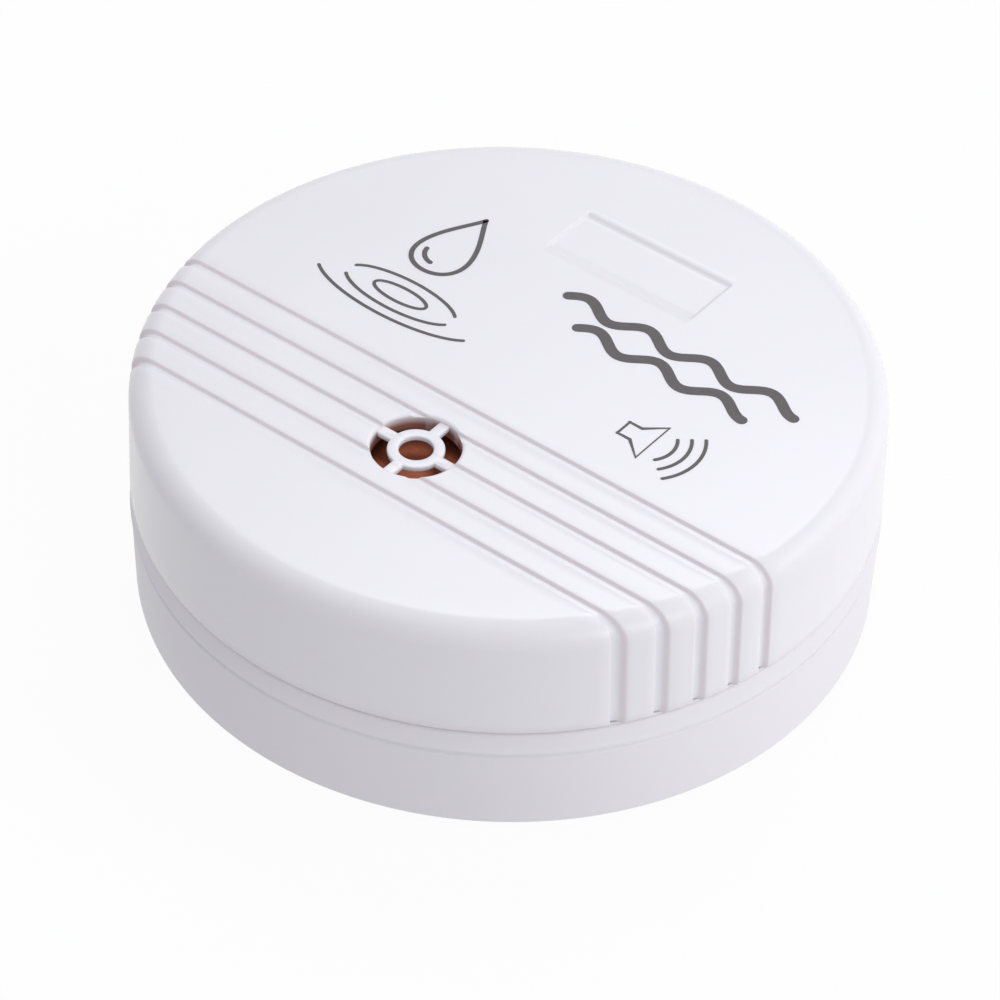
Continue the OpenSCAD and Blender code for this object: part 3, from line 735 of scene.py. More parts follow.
# %% Cut the hole and add what hangs under the top
hole_r = 3.55
hole_lip = 0.25
grille_drop = 0.3
grille_t = 0.5
ring_r = 2.25
ring_bore_r = 1.35
spoke_w = 1.0
soft_edge = 0.14
spoke_root = 0.3
bore_past = 0.8
hole_xy = (hole_at.x, hole_at.y)
z_grille = z_top - grille_drop


def hole_cutter():
    """Straight bore with a lip that rounds outwards into the top."""
    lip = arc_points(hole_r + hole_lip, z_skin - hole_lip, hole_lip, 180, 90, 5)
    corners = [(0, z_ceiling - bore_past, 0), (hole_r, z_ceiling - bore_past, 0)]
    corners += [(r, z, 0) for r, z in lip]
    corners += [(hole_r + hole_lip, z_top + past, 0), (0, z_top + past, 0)]
    return turned_piece("hole", corners, hole_xy, 72)


def softened_block(x, y, z):
    """A box with rounded edges."""
    made = block(x, y, z)
    shape = bmesh.new()
    shape.from_mesh(made.data)
    bmesh.ops.recalc_face_normals(shape, faces=shape.faces)
    bmesh.ops.bevel(shape, geom=shape.edges[:], offset=soft_edge * MM, segments=3,
                    profile=0.5, affect="EDGES")
    shape.to_mesh(made.data)
    shape.free()
    return made


def grille_parts():
    low = z_grille - grille_t
    ring = [(ring_bore_r, (low + z_grille) / 2, 0), (ring_bore_r, low, soft_edge), (ring_r, low, soft_edge),
            (ring_r, z_grille, soft_edge), (ring_bore_r, z_grille, soft_edge),
            (ring_bore_r, (low + z_grille) / 2, 0)]
    parts = [turned_piece("ring", ring, hole_xy, 72)]
    near = ring_r - spoke_root
    reach = hole_r + spoke_root
    half = spoke_w / 2
    for side in (-1, 1):
        span = sorted((side * near, side * reach))
        x, y = hole_xy
        parts.append(softened_block([x + s for s in span], (y - half, y + half), (low, z_grille)))
        parts.append(softened_block((x - half, x + half), [y + s for s in span], (low, z_grille)))
    return parts


combine(cover, "DIFFERENCE", [hole_cutter()])
grille_ring, *grille_spokes = grille_parts()
combine(grille_ring, "UNION", grille_spokes)
combine(cover, "UNION", [grille_ring])
print("cover with grille:", len(cover.data.polygons), "faces")

# %% [markdown]
# ### Painted light and shade on the cover
# The plastic is one colour, and three places get painted light or shade in it. The wall of the sound hole
# gets a painted brown reflection of the brass below it, stronger the deeper it goes. The rear flank of each
# groove gets a painted pinkish shade, and the wall gets a painted shade just above the seam. All three
# depend on the place alone, so one small group works them out from the object's coordinates.

# %% Arithmetic in a shader group
def reckon(group, operation, *values):
    """A math node with its values, each a socket or a number."""
    node = place(group, "ShaderNodeMath", {"operation": operation})
    for socket, value in zip(node.inputs, values):
        if isinstance(value, bpy.types.NodeSocket):
            group.links.new(value, socket)
        else:
            socket.default_value = value
    return node.outputs[0]


def ramp(group, value, start, end):
    """Zero at the start, one at the end, both in millimetres."""
    node = place(group, "ShaderNodeMapRange", Value=value, From_Min=start * MM, From_Max=end * MM)
    return node.outputs["Result"]


def mixed(group, factor, first, second):
    """The first colour, turned towards the second."""
    node = place(group, "ShaderNodeMix", {"data_type": "RGBA"}, Factor=factor)
    group.links.new(first, node.inputs[6])
    node.inputs[7].default_value = (*second, 1.0)
    return node.outputs[2]


# %% Painted brass reflection in the sound hole, painted shade in the grooves and above the seam
# Painted brown reflection of the brass disc on the wall of the sound hole, stronger deeper down
PAINTED_BRASS_REFLECTION = (0.36, 0.13, 0.075)
# Painted pinkish shade on the rear flank of each groove
PAINTED_GROOVE_SHADE = (0.76, 0.66, 0.69)
# Painted shade on the wall just above the seam, darkest at the seam
PAINTED_SEAM_SHADE = (0.66, 0.56, 0.58)
brass_reflection_start = 0.2
brass_reflection_depth = 1.0
brass_reflection_strength = 0.9
groove_shade_strength = 0.4
seam_shade_strength = 0.35
seam_fade = 0.9
seam_full = 0.1


# One shader group paints light and shade into the cover's colour: the brass reflection in the hole, the
# shade in the grooves and above the seam
def painted_light_group():
    group, source, sink = effect_group("cover_tints", {"Vector": VECTOR, "Colour": COLOUR},
                                       {"Color": COLOUR})
    x, y, z = place(group, "ShaderNodeSeparateXYZ", Vector=source.outputs["Vector"]).outputs
    across = reckon(group, "SUBTRACT", y, hole_at.y * MM)
    squares = [reckon(group, "MULTIPLY", side, side) for side in (x, across)]
    reach = reckon(group, "SQRT", reckon(group, "ADD", *squares))
    # Painted brass reflection: a ring on the hole wall, fading in from the top of the hole downwards
    on_wall = reckon(group, "MULTIPLY", ramp(group, reach, hole_r - 0.2, hole_r - 0.04),
                     ramp(group, reach, hole_r + 0.25, hole_r + 0.15))
    deep = ramp(group, z, z_top - brass_reflection_start, z_top - brass_reflection_depth)
    brass_reflection_mask = reckon(group, "MULTIPLY", reckon(group, "MULTIPLY", on_wall, deep), brass_reflection_strength)
    # Painted groove shade: the rear flank of each groove, found by the distance across the grooves
    from_groove = reckon(group, "WRAP", across, groove_pitch / 2 * MM, -groove_pitch / 2 * MM)
    flank = reckon(group, "MULTIPLY", ramp(group, from_groove, 0.22, 0.3),
                   ramp(group, from_groove, groove_half_w + 0.06, groove_half_w - 0.02))
    last_groove = (groove_n - 1) / 2 * groove_pitch + groove_half_w
    groove_shade_mask = reckon(group, "MULTIPLY", flank,
                       ramp(group, reckon(group, "ABSOLUTE", across), last_groove + 0.1, last_groove))
    with_brass_reflection = mixed(group, brass_reflection_mask, source.outputs["Colour"], PAINTED_BRASS_REFLECTION)
    with_groove_shade = mixed(group, reckon(group, "MULTIPLY", groove_shade_mask, groove_shade_strength), with_brass_reflection, PAINTED_GROOVE_SHADE)
    # Painted seam shade: a ramp that darkens the wall towards the seam
    seam_shade_mask = ramp(group, z, z_rim + seam_fade, z_rim + seam_full)
    with_seam_shade = mixed(group, reckon(group, "MULTIPLY", seam_shade_mask, seam_shade_strength), with_groove_shade, PAINTED_SEAM_SHADE)
    group.links.new(with_seam_shade, sink.inputs["Color"])
    return group


# The painted light and shade go into the cover's base colour
COVER_PAINTED_LIGHT = painted_light_group()
cover_nodes = cover_white.node_tree
cover_shader = cover_nodes.nodes["Principled BSDF"]
cover_grain = cover_shader.inputs["Base Color"].links[0].from_socket
cover_where = next(n for n in cover_nodes.nodes if n.type == "TEX_COORD").outputs["Object"]
painted_light_node = place(cover_nodes, "ShaderNodeGroup", {"node_tree": COVER_PAINTED_LIGHT},
              Vector=cover_where, Colour=cover_grain)
cover_nodes.links.new(painted_light_node.outputs["Color"], cover_shader.inputs["Base Color"])
print("tint group:", len(COVER_PAINTED_LIGHT.nodes), "nodes")

# %% Sounder cup and screw posts
plate_r = (plate_high.x - plate_low.x) / 2
cup_in_r = plate_r + fit_gap
cup_r = cup_in_r + 1.3
z_ledge = box_mm("adhesive_ring")[1].z
z_cup_end = box_mm("piezo_ceramic")[0].z - 0.3
ledge_in_r = plate_r - 1.5
into_top = 0.05
screw_low, screw_high = box_mm("case_screws")
screw_head_r = 2.3
screw_circle_r = screw_high.y - screw_head_r
screw_angles = [math.radians(a) for a in (90, 210, 330)]
screw_at = [(screw_circle_r * math.cos(a), screw_circle_r * math.sin(a)) for a in screw_angles]
post_r = 3.0
post_bore_r = 1.15

cup = [(ledge_in_r, z_ceiling + into_top, 0), (ledge_in_r, z_ledge, 0.1), (cup_in_r, z_ledge, 0),
       (cup_in_r, z_cup_end, 0.2), (cup_r, z_cup_end, 0.2), (cup_r, z_ceiling + into_top, 0),
       (ledge_in_r, z_ceiling + into_top, 0)]
posts = [column(post_r, (z_post_end, z_ceiling + into_top), at) for at in screw_at]
combine(cover, "UNION", [turned_piece("cup", cup, hole_xy)])
combine(cover, "UNION", posts)
post_bores = [column(post_bore_r, (z_post_end - past, screw_high.z + past), at) for at in screw_at]
combine(cover, "DIFFERENCE", post_bores)
shade(cover, 38)
hand_over(cover, cover_white, "case", "cover_plastic", "top_cover")

# %% [markdown]
# ## Base
# The base is a turned dish: a rounded lower edge, a slightly leaning wall, and a raised band under the
# seam that hides small errors of fit. The band leans in and ends below in a bead with a fine groove
# under it. A lathe gives that outline in one go. The battery opening, the screw wells and the dishes of
# the probes are cut out of it, and the battery compartment and the posts inside are added.

# %% Turn the base
base_draft = 0.15
band_h = 1.85
band_proud = 0.12
band_lip = 0.4
band_lean = 0.26
bead_h = 0.6
bead_rise = 0.15
bead_proud = 0.18
bead_groove = 0.2
bead_groove_h = 0.3
bead_groove_slope = 0.1
seam_depth = 0.2
ridge_play = 0.04
crisp_r = 0.05
small_r = 0.1
tongue_t = 1.0
tongue_h = 1.6
rim_drop = 2.0
bottom_r = 0.3
base_wall_r = band_r - band_proud
base_in_r = base_wall_r - wall
tongue_r = cover_in_r - fit_gap
rim_in_r = tongue_r - tongue_t
z_band = z_seam - band_h
z_tongue = z_seam + tongue_h
lip_r = band_r - bead_proud - band_lean
ridge_r = lip_r - seam_depth
z_ridge = z_rim - ridge_play

# Each point is (radius, height, rounding of the corner)
base_outline = [
    (0, z_under, 0), (base_wall_r - base_draft, z_under, bottom_r),
    (base_wall_r, z_band - bead_groove_h - bead_groove_slope, 0.12),
    (base_wall_r - bead_groove, z_band - bead_groove_h, crisp_r),
    (base_wall_r - bead_groove, z_band, crisp_r),
    (band_r, z_band + bead_rise, small_r), (band_r - bead_proud, z_band + bead_h, 0.3),
    (lip_r, z_seam, band_lip), (ridge_r, z_seam, small_r), (ridge_r, z_ridge, crisp_r),
    (tongue_r, z_ridge, small_r),
    (tongue_r, z_tongue, 0.25), (rim_in_r, z_tongue, 0.15), (rim_in_r, z_seam - rim_drop, 0),
    (base_in_r, z_seam - rim_drop - 1, 0), (base_in_r, z_floor, 0.4), (0, z_floor, 0)]
base = turned_piece("base", base_outline, steps=192)
print("base dish:", len(base.data.polygons), "faces")

# %% Battery compartment
cell_low, cell_high = box_mm("button_cell_1")
cell_y = (cell_low.y + cell_high.y) / 2
cell_r = (cell_high.y - cell_low.y) / 2
contact_low, contact_high = box_mm("positive_contact")
comp_wall = 1.2
comp_half_y = cell_r + 0.3
comp_x = 10.1
z_roof = cell_high.z + 0.3
door_half = door_high.x + fit_gap
door_half_y = (door_high.y - door_low.y) / 2 + fit_gap
z_door_ledge = 1.75
z_pocket = 6.3
overlap = 0.05
guide_w = 0.8
contact_half_w = 4.5
tab_half_w = 1.35
tab_slot_h = 0.55


def mirrored_blocks(x, y, z):
    """The same box at both ends of the compartment, and on both sides if it is off the middle."""
    sides = (-1, 1)
    spans = [y] if y[0] == -y[1] else [y, (-y[1], -y[0])]
    return [block(sorted((s * x[0], s * x[1])), (cell_y + a, cell_y + b), z)
            for s in sides for a, b in spans]


outer_y = comp_half_y + comp_wall
compartment = block((-comp_x - comp_wall, comp_x + comp_wall), (cell_y - outer_y, cell_y + outer_y),
                    (z_floor - overlap, z_roof + comp_wall))
combine(compartment, "DIFFERENCE", [block((-comp_x, comp_x), (cell_y - comp_half_y, cell_y + comp_half_y),
                                          (z_floor - past, z_roof))])
pocket_walls = [block((-door_half, door_half), (cell_y + a, cell_y + b), (z_floor - overlap, z_pocket))
                for a, b in ((-outer_y + 0.01, -comp_half_y), (comp_half_y, outer_y - 0.01))]
combine(compartment, "UNION", pocket_walls)
guides = mirrored_blocks((comp_x - guide_w, comp_x + overlap),
                         (contact_half_w + fit_gap, comp_half_y + overlap),
                         (z_floor, z_roof + overlap))
ledges = mirrored_blocks((comp_x - guide_w / 2, comp_x + overlap), (-contact_half_w, contact_half_w),
                         (z_floor, contact_low.z))
combine(compartment, "UNION", guides + ledges)
z_tab = contact_high.z
tab_slots = mirrored_blocks((comp_x - past, comp_x + 2 * past), (-tab_half_w, tab_half_w),
                            (z_tab - tab_slot_h, z_tab + fit_gap))
combine(compartment, "DIFFERENCE", tab_slots)
print("compartment:", len(compartment.data.polygons), "faces")

# %% Cut the openings and add the posts
probe_low, probe_high = box_mm("right_probe")
probe_at = ((probe_low.x + probe_high.x) / 2, (probe_low.y + probe_high.y) / 2)
both_probes = [probe_at, (-probe_at[0], probe_at[1])]
both_pegs = [(17.5, -2.5), (-17.5, -2.5)]
foot_circle_r = 24.45
feet_at = [(foot_circle_r * math.cos(a), foot_circle_r * math.sin(a)) for a in np.radians((30, 150, 270))]
foot_r = 2.5
well_r = 2.5
z_well = 6.6
z_board = box_mm("circuit_board")[0].z
z_dish = 1.5
dish_r = 3.8
scoop_r = 3.0
scoop_depth = 0.9
base_post_r = 3.4
dish_wall = 0.4
peg_seat_r = 2.3
peg_r = 0.95
peg_h = 1.9
screw_bore_r = 1.4
probe_bore_r = 1.6

opening = block((-door_half, door_half), (cell_y - door_half_y, cell_y + door_half_y),
                (z_under - past, z_door_ledge))
passage = block((-door_half, door_half), (cell_y - comp_half_y, cell_y + comp_half_y),
                (z_under - past, z_floor + 0.5))
scoop = column(scoop_r, (z_under - past, z_under + scoop_depth), (door_half, cell_y))
for cutter in (opening, passage, scoop):
    combine(base, "DIFFERENCE", [cutter])
combine(base, "UNION", [compartment])

foot_outline = [(0, 0, 0), (foot_r, 0, 0.2), (foot_r, z_under + overlap, 0), (0, z_under + overlap, 0)]
posts = [column(base_post_r, (z_floor - overlap, z_post_end), at) for at in screw_at]
posts += [column(dish_r + dish_wall, (z_floor - overlap, z_board), at) for at in both_probes]
posts += [column(peg_seat_r, (z_floor - overlap, z_board), at) for at in both_pegs]
posts += [turned_piece("foot", foot_outline, at, 48) for at in feet_at]
combine(base, "UNION", posts)
pegs = [column(peg_r, (z_board - overlap, z_board + peg_h), at) for at in both_pegs]
combine(base, "UNION", pegs)
wells = [column(well_r, (z_under - past, z_well), at) for at in screw_at]
dishes = [column(dish_r, (z_under - past, z_dish), at) for at in both_probes]
combine(base, "DIFFERENCE", wells + dishes)
bores = [column(screw_bore_r, (z_under, z_post_end + past), at) for at in screw_at]
bores += [column(probe_bore_r, (z_under, z_board + past), at) for at in both_probes]
combine(base, "DIFFERENCE", bores)
print("base with its openings:", len(base.data.polygons), "faces")

# %% [markdown]
# ### Moulded edges
# A mould leaves every edge slightly round, and that thin line of light is what tells the eye that a
# thing is plastic and not paper. A bevel on all edges sharper than a chosen angle gives it. Flat faces
# are merged first, so that the bevel follows only the real edges. Level faces stay flat, so that the
# rounding does not bleed over them as a smear.

# %% Round the edges of a piece
LEVEL = 0.9999


def soften(made, width, segments=2, degrees=40):
    """Merges flat faces and rounds every edge sharper than an angle."""
    shape = bmesh.new()
    shape.from_mesh(made.data)
    bmesh.ops.remove_doubles(shape, verts=shape.verts, dist=2e-6)
    bmesh.ops.dissolve_degenerate(shape, edges=shape.edges, dist=2e-6)
    bmesh.ops.dissolve_limit(shape, angle_limit=math.radians(0.5), verts=shape.verts, edges=shape.edges)
    sharp = [e for e in shape.edges if e.is_manifold and e.calc_face_angle() > math.radians(degrees)]
    bmesh.ops.bevel(shape, geom=sharp, offset=width * MM, segments=segments, profile=0.5, affect="EDGES",
                    clamp_overlap=False, miter_outer="ARC")
    shape.to_mesh(made.data)
    shape.free()
    shade(made, 50)
    for face in made.data.polygons:
        if abs(face.normal.z) > LEVEL:
            face.use_smooth = False
    return made


soften(base, 0.1)
hand_over(base, base_white, "case", "base_plastic", "base_shell")

# %% Copy a solid and round its edges
def softened_copy(node, name, width, segments=2, degrees=40):
    """A merged copy of a solid with rounded edges. The solid itself is left alone."""
    made = bpy.data.objects.new(name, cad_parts[node].data.copy())
    bpy.context.scene.collection.objects.link(made)
    made.data.name = name
    return soften(made, width, segments, degrees)


door = softened_copy("battery_door", "door", 0.12, 3)
hand_over(door, base_white, "door", "base_plastic", "battery_door")

# %% [markdown]
# ## Screws and probes
# Three screws pull the base against the cover. They sit deep in their wells and only the cross-slotted
# heads show. One screw is made, and a small tree sets it round a circle as often as its count says. The
# two probes are polished studs with a low dome, turned on the lathe like the real ones.

# %% Tree that sets a piece round a circle
def ring_tree():
    tree = Tree("set_round_a_circle", Piece="object", Count="count", Radius="length", First_Angle="length",
                Material="material")
    circle = tree.add("GeometryNodeMeshCircle", Vertices=tree.given("Count"), Radius=tree.given("Radius"))
    piece = tree.add("GeometryNodeObjectInfo", Object=tree.given("Piece"), As_Instance=True)
    copies = tree.add("GeometryNodeInstanceOnPoints", Points=circle.outputs["Mesh"],
                      Instance=piece.outputs["Geometry"])
    angle = tree.add("ShaderNodeCombineXYZ", Z=tree.given("First_Angle")).outputs[0]
    real = tree.add("GeometryNodeRealizeInstances", Geometry=copies.outputs["Instances"])
    turned = tree.add("GeometryNodeTransform", Geometry=real.outputs["Geometry"], Rotation=angle)
    tree.end(turned.outputs["Geometry"])
    return tree


SET_ROUND = ring_tree()
print("circle tree:", len(SET_ROUND.group.nodes), "nodes")

# %% Case screws
screw_core_r = 1.1
slot_half = 0.35
slot_reach = screw_head_r * 2 / 3
slot_top = z_well - 0.6
screw_point = 2 * screw_core_r

screw_outline = [
    (0, screw_low.z, 0), (screw_head_r * 0.55, screw_low.z, 0.3), (screw_head_r, screw_low.z + 0.75, 0.45),
    (screw_head_r, z_well, 0.08), (screw_core_r, z_well, 0.08),
    (screw_core_r, screw_high.z - screw_point, 0),
    (screw_core_r / 4, screw_high.z, 0), (0, screw_high.z, 0)]
screw = turned_piece("screw", screw_outline, steps=48)
long_side = (-slot_reach, slot_reach)
thin_side = (-slot_half, slot_half)
for slot_x, slot_y in ((long_side, thin_side), (thin_side, long_side)):
    combine(screw, "DIFFERENCE", [block(slot_x, slot_y, (screw_low.z - past, slot_top))])
soften(screw, 0.05, 2)
screws = SET_ROUND.run("case_screws_made", Piece=screw, Count=len(screw_at), Radius=screw_circle_r * MM,
                       First_Angle=screw_angles[0], Material=nickel)
bpy.data.objects.remove(screw)
hand_over(shade(screws, 40), nickel, "case", "plated_steel", "case_screws")

# %% Probes
probe_head_r = (probe_high.x - probe_low.x) / 2
probe_shank_r = 1.5
z_probe = probe_low.z
z_probe_end = probe_high.z
dome_rise = 0.7 * (z_dish - z_probe)
dome_r = (probe_head_r ** 2 + dome_rise ** 2) / (2 * dome_rise)


def probe_outline():
    dome = []
    for k in range(13):
        a = math.asin(probe_head_r / dome_r) * k / 12
        dome.append((dome_r * math.sin(a), z_probe + dome_r * (1 - math.cos(a)), 0))
    return dome + [(probe_head_r, z_dish, 0.12), (probe_shank_r, z_dish, 0.05),
                   (probe_shank_r, z_probe_end, 0.3), (0, z_probe_end, 0)]


for side, at in zip(("right", "left"), both_probes):
    probe = turned_piece(side + "_probe_made", probe_outline(), at, 72)
    hand_over(shade(probe), probe_steel, "case", "probe_steel", side + "_probe")

nuts = softened_copy("probe_nuts", "probe_nuts_made", 0.12, 2, 35)
hand_over(nuts, nickel, "case", "plated_steel", "probe_nuts")

# %% [markdown]
# ## Battery
# Three button cells stand in a row between a spring and a contact plate. A cell is a pressed can with a
# smaller cap, a dark seal between the two, and rounded rims, so it is turned about its own axis and then
# laid on its side. The spring follows a helix that narrows towards the first cell.

# %% Button cells
seal_black = finish("seal_black", (0.02, 0.02, 0.022), (0.03, 0.03, 0.03), (0.4, 0.5))
cap_r = 4.4
cap_h = 0.5
can_lip = 0.45
seal_half = 0.1
lay_down = Matrix.Rotation(math.radians(90), 4, "Y")


def laid(made, x, y, z):
    """Lays a turned piece along X, with its foot at a point."""
    made.data.transform(Matrix.Translation(Vector((x, y, z)) * MM) @ lay_down)
    return made


for k in range(3):
    node = "button_cell_%d" % (k + 1)
    low, high = box_mm(node)
    cell_h = high.x - low.x
    middle_z = (low.z + high.z) / 2
    outline = [(0, 0, 0), (cap_r, 0, 0.3), (cap_r, cap_h, 0.05), (cell_r - can_lip, cap_h, 0.05),
               (cell_r, cap_h + 0.05, 0.3), (cell_r, cell_h, 0.45), (cap_r, cell_h, 0.1),
               (cap_r - 0.3, cell_h - 0.06, 0.1), (0, cell_h - 0.06, 0)]
    cell = laid(turned_piece(node + "_can", outline, steps=96), low.x, cell_y, middle_z)
    hand_over(shade(cell), cell_steel, "case", "cell_steel", node)
    seal_in = cap_r - seal_half
    seal_low = cap_h - seal_half
    seal_high = cap_h + seal_half
    seal_outline = [(seal_in, seal_low, 0), (cap_r + 0.3, seal_low, 0.1), (cap_r + can_lip, seal_high, 0),
                    (seal_in, seal_high, 0), (seal_in, seal_low, 0)]
    seal = laid(turned_piece(node + "_seal", seal_outline, steps=96), low.x, cell_y, middle_z)
    hand_over(shade(seal), seal_black, "case", "component_black")

# %% Tree that winds a wire
def wire_tree():
    tree = Tree("wound_wire", Turns="length", Start_Radius="length", End_Radius="length", Height="length",
                Wire_Radius="length", Steps="count", Place="vector", Turn="vector", Material="material")
    helix = tree.add("GeometryNodeCurveSpiral", Resolution=tree.given("Steps"),
                     Rotations=tree.given("Turns"), Start_Radius=tree.given("Start_Radius"),
                     End_Radius=tree.given("End_Radius"), Height=tree.given("Height"))
    section = tree.add("GeometryNodeCurvePrimitiveCircle", Resolution=12, Radius=tree.given("Wire_Radius"))
    wire = tree.add("GeometryNodeCurveToMesh", Curve=helix.outputs["Curve"],
                    Profile_Curve=section.outputs["Curve"], Fill_Caps=True)
    moved = tree.add("GeometryNodeTransform", Geometry=wire.outputs["Mesh"],
                     Translation=tree.given("Place"), Rotation=tree.given("Turn"))
    tree.end(moved.outputs["Geometry"])
    return tree


WOUND = wire_tree()
spring_low, spring_high = box_mm("battery_spring")
spring_wire_r = 0.25
spring_big_r = (spring_high.y - spring_low.y) / 2 - spring_wire_r
spring_small_r = 2.2
spring_z = (cell_low.z + cell_high.z) / 2
spring_turns = 2.5
spring_h = spring_high.x - spring_low.x - 2 * spring_wire_r
spring_at = Vector((spring_low.x + spring_wire_r, cell_y, spring_z))
spring = WOUND.run("battery_spring_made", Turns=spring_turns, Start_Radius=spring_big_r * MM,
                   End_Radius=spring_small_r * MM, Height=spring_h * MM, Wire_Radius=spring_wire_r * MM,
                   Steps=48, Place=spring_at * MM, Turn=(0, math.radians(90), 0), Material=nickel)
hand_over(outward(spring), nickel, "case", "plated_steel", "battery_spring")

# %% Contact plates
for node in ("negative_contact", "positive_contact"):
    plate = softened_copy(node, node + "_made", 0.06, 2, 30)
    hand_over(plate, nickel, "case", "plated_steel", node)

# %% [markdown]
# ## Sounder
# A thin brass plate, glued by its edge under the hole, carries a silvered ceramic disc. Through the
# spokes only a patch of tarnished brass shows, so its colour does all the work.

# %% Turn the sounder
def turned_disc(node, edge):
    """A flat disc in the place of a solid, with a small round on its edge."""
    low, high = box_mm(node)
    r = (high.x - low.x) / 2
    outline = [(0, low.z, 0), (r, low.z, edge), (r, high.z, edge), (0, high.z, 0)]
    return shade(turned_piece(node + "_made", outline, hole_xy, 128))


hand_over(turned_disc("piezo_plate", 0.06), brass, "case", "sounder_brass", "piezo_plate")
hand_over(turned_disc("piezo_ceramic", 0.05), silvered, "case", "ceramic", "piezo_ceramic")
glue = softened_copy("adhesive_ring", "adhesive_ring_made", 0.05)
hand_over(glue, foam_tape, "case", "adhesive", "adhesive_ring")

# %% [markdown]
# ## Circuit board
# The board carries a chip, a transistor, a wound coil, a capacitor and a row of resistors. None of them
# shows while the case is closed, but a part for a library may be opened, so each has its own shape.

# %% Board and its plain parts
board = softened_copy("circuit_board", "circuit_board_made", 0.06)
hand_over(board, solder_mask, "case", "board_laminate", "circuit_board")
for node in ("controller_chip", "driver_transistor", "boost_coil_core"):
    hand_over(softened_copy(node, node + "_made", 0.05), moulded_black, "case", "component_black", node)
can = softened_copy("storage_capacitor", "storage_capacitor_made", 0.08)
hand_over(can, sleeve_blue, "case", "capacitor_sleeve", "storage_capacitor")

# %% Coil winding
coil_low, coil_high = box_mm("boost_coil_winding")
coil_r = (coil_high.x - coil_low.x) / 2
coil_xy = ((coil_low.x + coil_high.x) / 2, (coil_low.y + coil_high.y) / 2)
wire_r = 0.2
coil_h = coil_high.z - coil_low.z - 2 * wire_r
coil_core_r = 2.05
turn_r = coil_r - wire_r
winding = WOUND.run("coil_winding_made", Turns=coil_h / (2 * wire_r), Start_Radius=turn_r * MM,
                    End_Radius=turn_r * MM, Height=coil_h * MM, Wire_Radius=wire_r * MM, Steps=40,
                    Place=Vector((*coil_xy, coil_low.z + wire_r)) * MM, Turn=(0, 0, 0), Material=copper)
inner_outline = [(coil_core_r, coil_low.z, 0), (turn_r, coil_low.z, 0), (turn_r, coil_high.z, 0),
                 (coil_core_r, coil_high.z, 0), (coil_core_r, coil_low.z, 0)]
inner_turns = turned_piece("inner_turns", inner_outline, coil_xy, 64)
hand_over(shade(outward(winding), 60), copper, "case", "copper_wire", "boost_coil_winding")
hand_over(shade(inner_turns), copper, "case", "copper_wire")

# %% Resistors
resistors = softened_copy("chip_resistors", "chip_resistors_made", 0.05)
hand_over(resistors, moulded_black, "case", "component_black", "chip_resistors")

# %% Leads
def smooth_lead(node, material, slot):
    """A copy of a lead's solid, with its eight sides rounded by subdivision."""
    made = bpy.data.objects.new(node + "_made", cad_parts[node].data.copy())
    bpy.context.scene.collection.objects.link(made)
    outward(made)
    step = made.modifiers.new("round", "SUBSURF")
    step.levels = 2
    step.render_levels = 2
    settle(made)
    hand_over(shade(made, 60), material, "case", slot, node)


for place_name in ("piezo", "battery"):
    smooth_lead(place_name + "_lead_red", red_pvc, "red_insulation")
    smooth_lead(place_name + "_lead_black", black_pvc, "black_insulation")

# %% [markdown]
# ## Print on the cover
# The top carries a thin dark print, a film of ink that stands hardly a fiftieth of a millimetre proud.
# Here it is a plain design of its own: a drop over spreading ripples, two bold waves and a small
# loudspeaker. Each stroke is a line of points, and a tree sweeps a flat section along it and sets a
# round dot on each open end, as a pen would. The top of the cover was drawn lower by the film.

# %% Tree that inks a line
def ink_tree():
    tree = Tree("inked_lines", Lines="object", Width="length", Film="length", Material="material")
    lines = tree.add("GeometryNodeObjectInfo", Object=tree.given("Lines")).outputs["Geometry"]
    curve = tree.add("GeometryNodeMeshToCurve", Mesh=lines).outputs["Curve"]
    level = tree.add("GeometryNodeSetCurveNormal", {"mode": "Z_UP"}, Curve=curve).outputs["Curve"]
    section = tree.add("GeometryNodeCurvePrimitiveQuadrilateral", Width=tree.given("Width"),
                       Height=tree.given("Film"))
    stroke = tree.add("GeometryNodeCurveToMesh", Curve=level, Profile_Curve=section.outputs["Curve"],
                      Fill_Caps=True)
    half = tree.math("MULTIPLY", tree.given("Width"), 0.5)
    dot_film = tree.math("MULTIPLY", tree.given("Film"), 0.9)
    dot = tree.add("GeometryNodeMeshCylinder", Vertices=20, Radius=half, Depth=dot_film)
    ends = tree.add("GeometryNodeCurveEndpointSelection", Start_Size=1, End_Size=1)
    dots = tree.add("GeometryNodeInstanceOnPoints", Points=level, Selection=ends.outputs["Selection"],
                    Instance=dot.outputs["Mesh"])
    whole = tree.add("GeometryNodeJoinGeometry")
    for part in (stroke.outputs["Mesh"], dots.outputs["Instances"]):
        tree.group.links.new(part, whole.inputs["Geometry"])
    tree.end(whole.outputs["Geometry"])
    return tree


INKED = ink_tree()
print("ink tree:", len(INKED.group.nodes), "nodes")

# %% Draw the motifs as lines
def arc_line(x, y, wide, high, first, last, n=40):
    """Part of an ellipse, in degrees from its right end."""
    angles = np.radians(np.linspace(first, last, n))
    return [(x + wide * math.cos(a), y + high * math.sin(a)) for a in angles]


def drop_line(x, y, wide, high, n=72):
    """A closed drop with its tip up."""
    turns = np.linspace(0, 2 * math.pi, n, endpoint=False)
    return [(x + wide * 0.65 * math.sin(t) * math.sin(t / 2) ** 1.4, y + high / 2 * math.cos(t))
            for t in turns]


def wave_line(x0, x1, y, high, length, n=90):
    """A run of waves along X."""
    return [(x, y + high * math.sin(2 * math.pi * (x - x0) / length)) for x in np.linspace(x0, x1, n)]


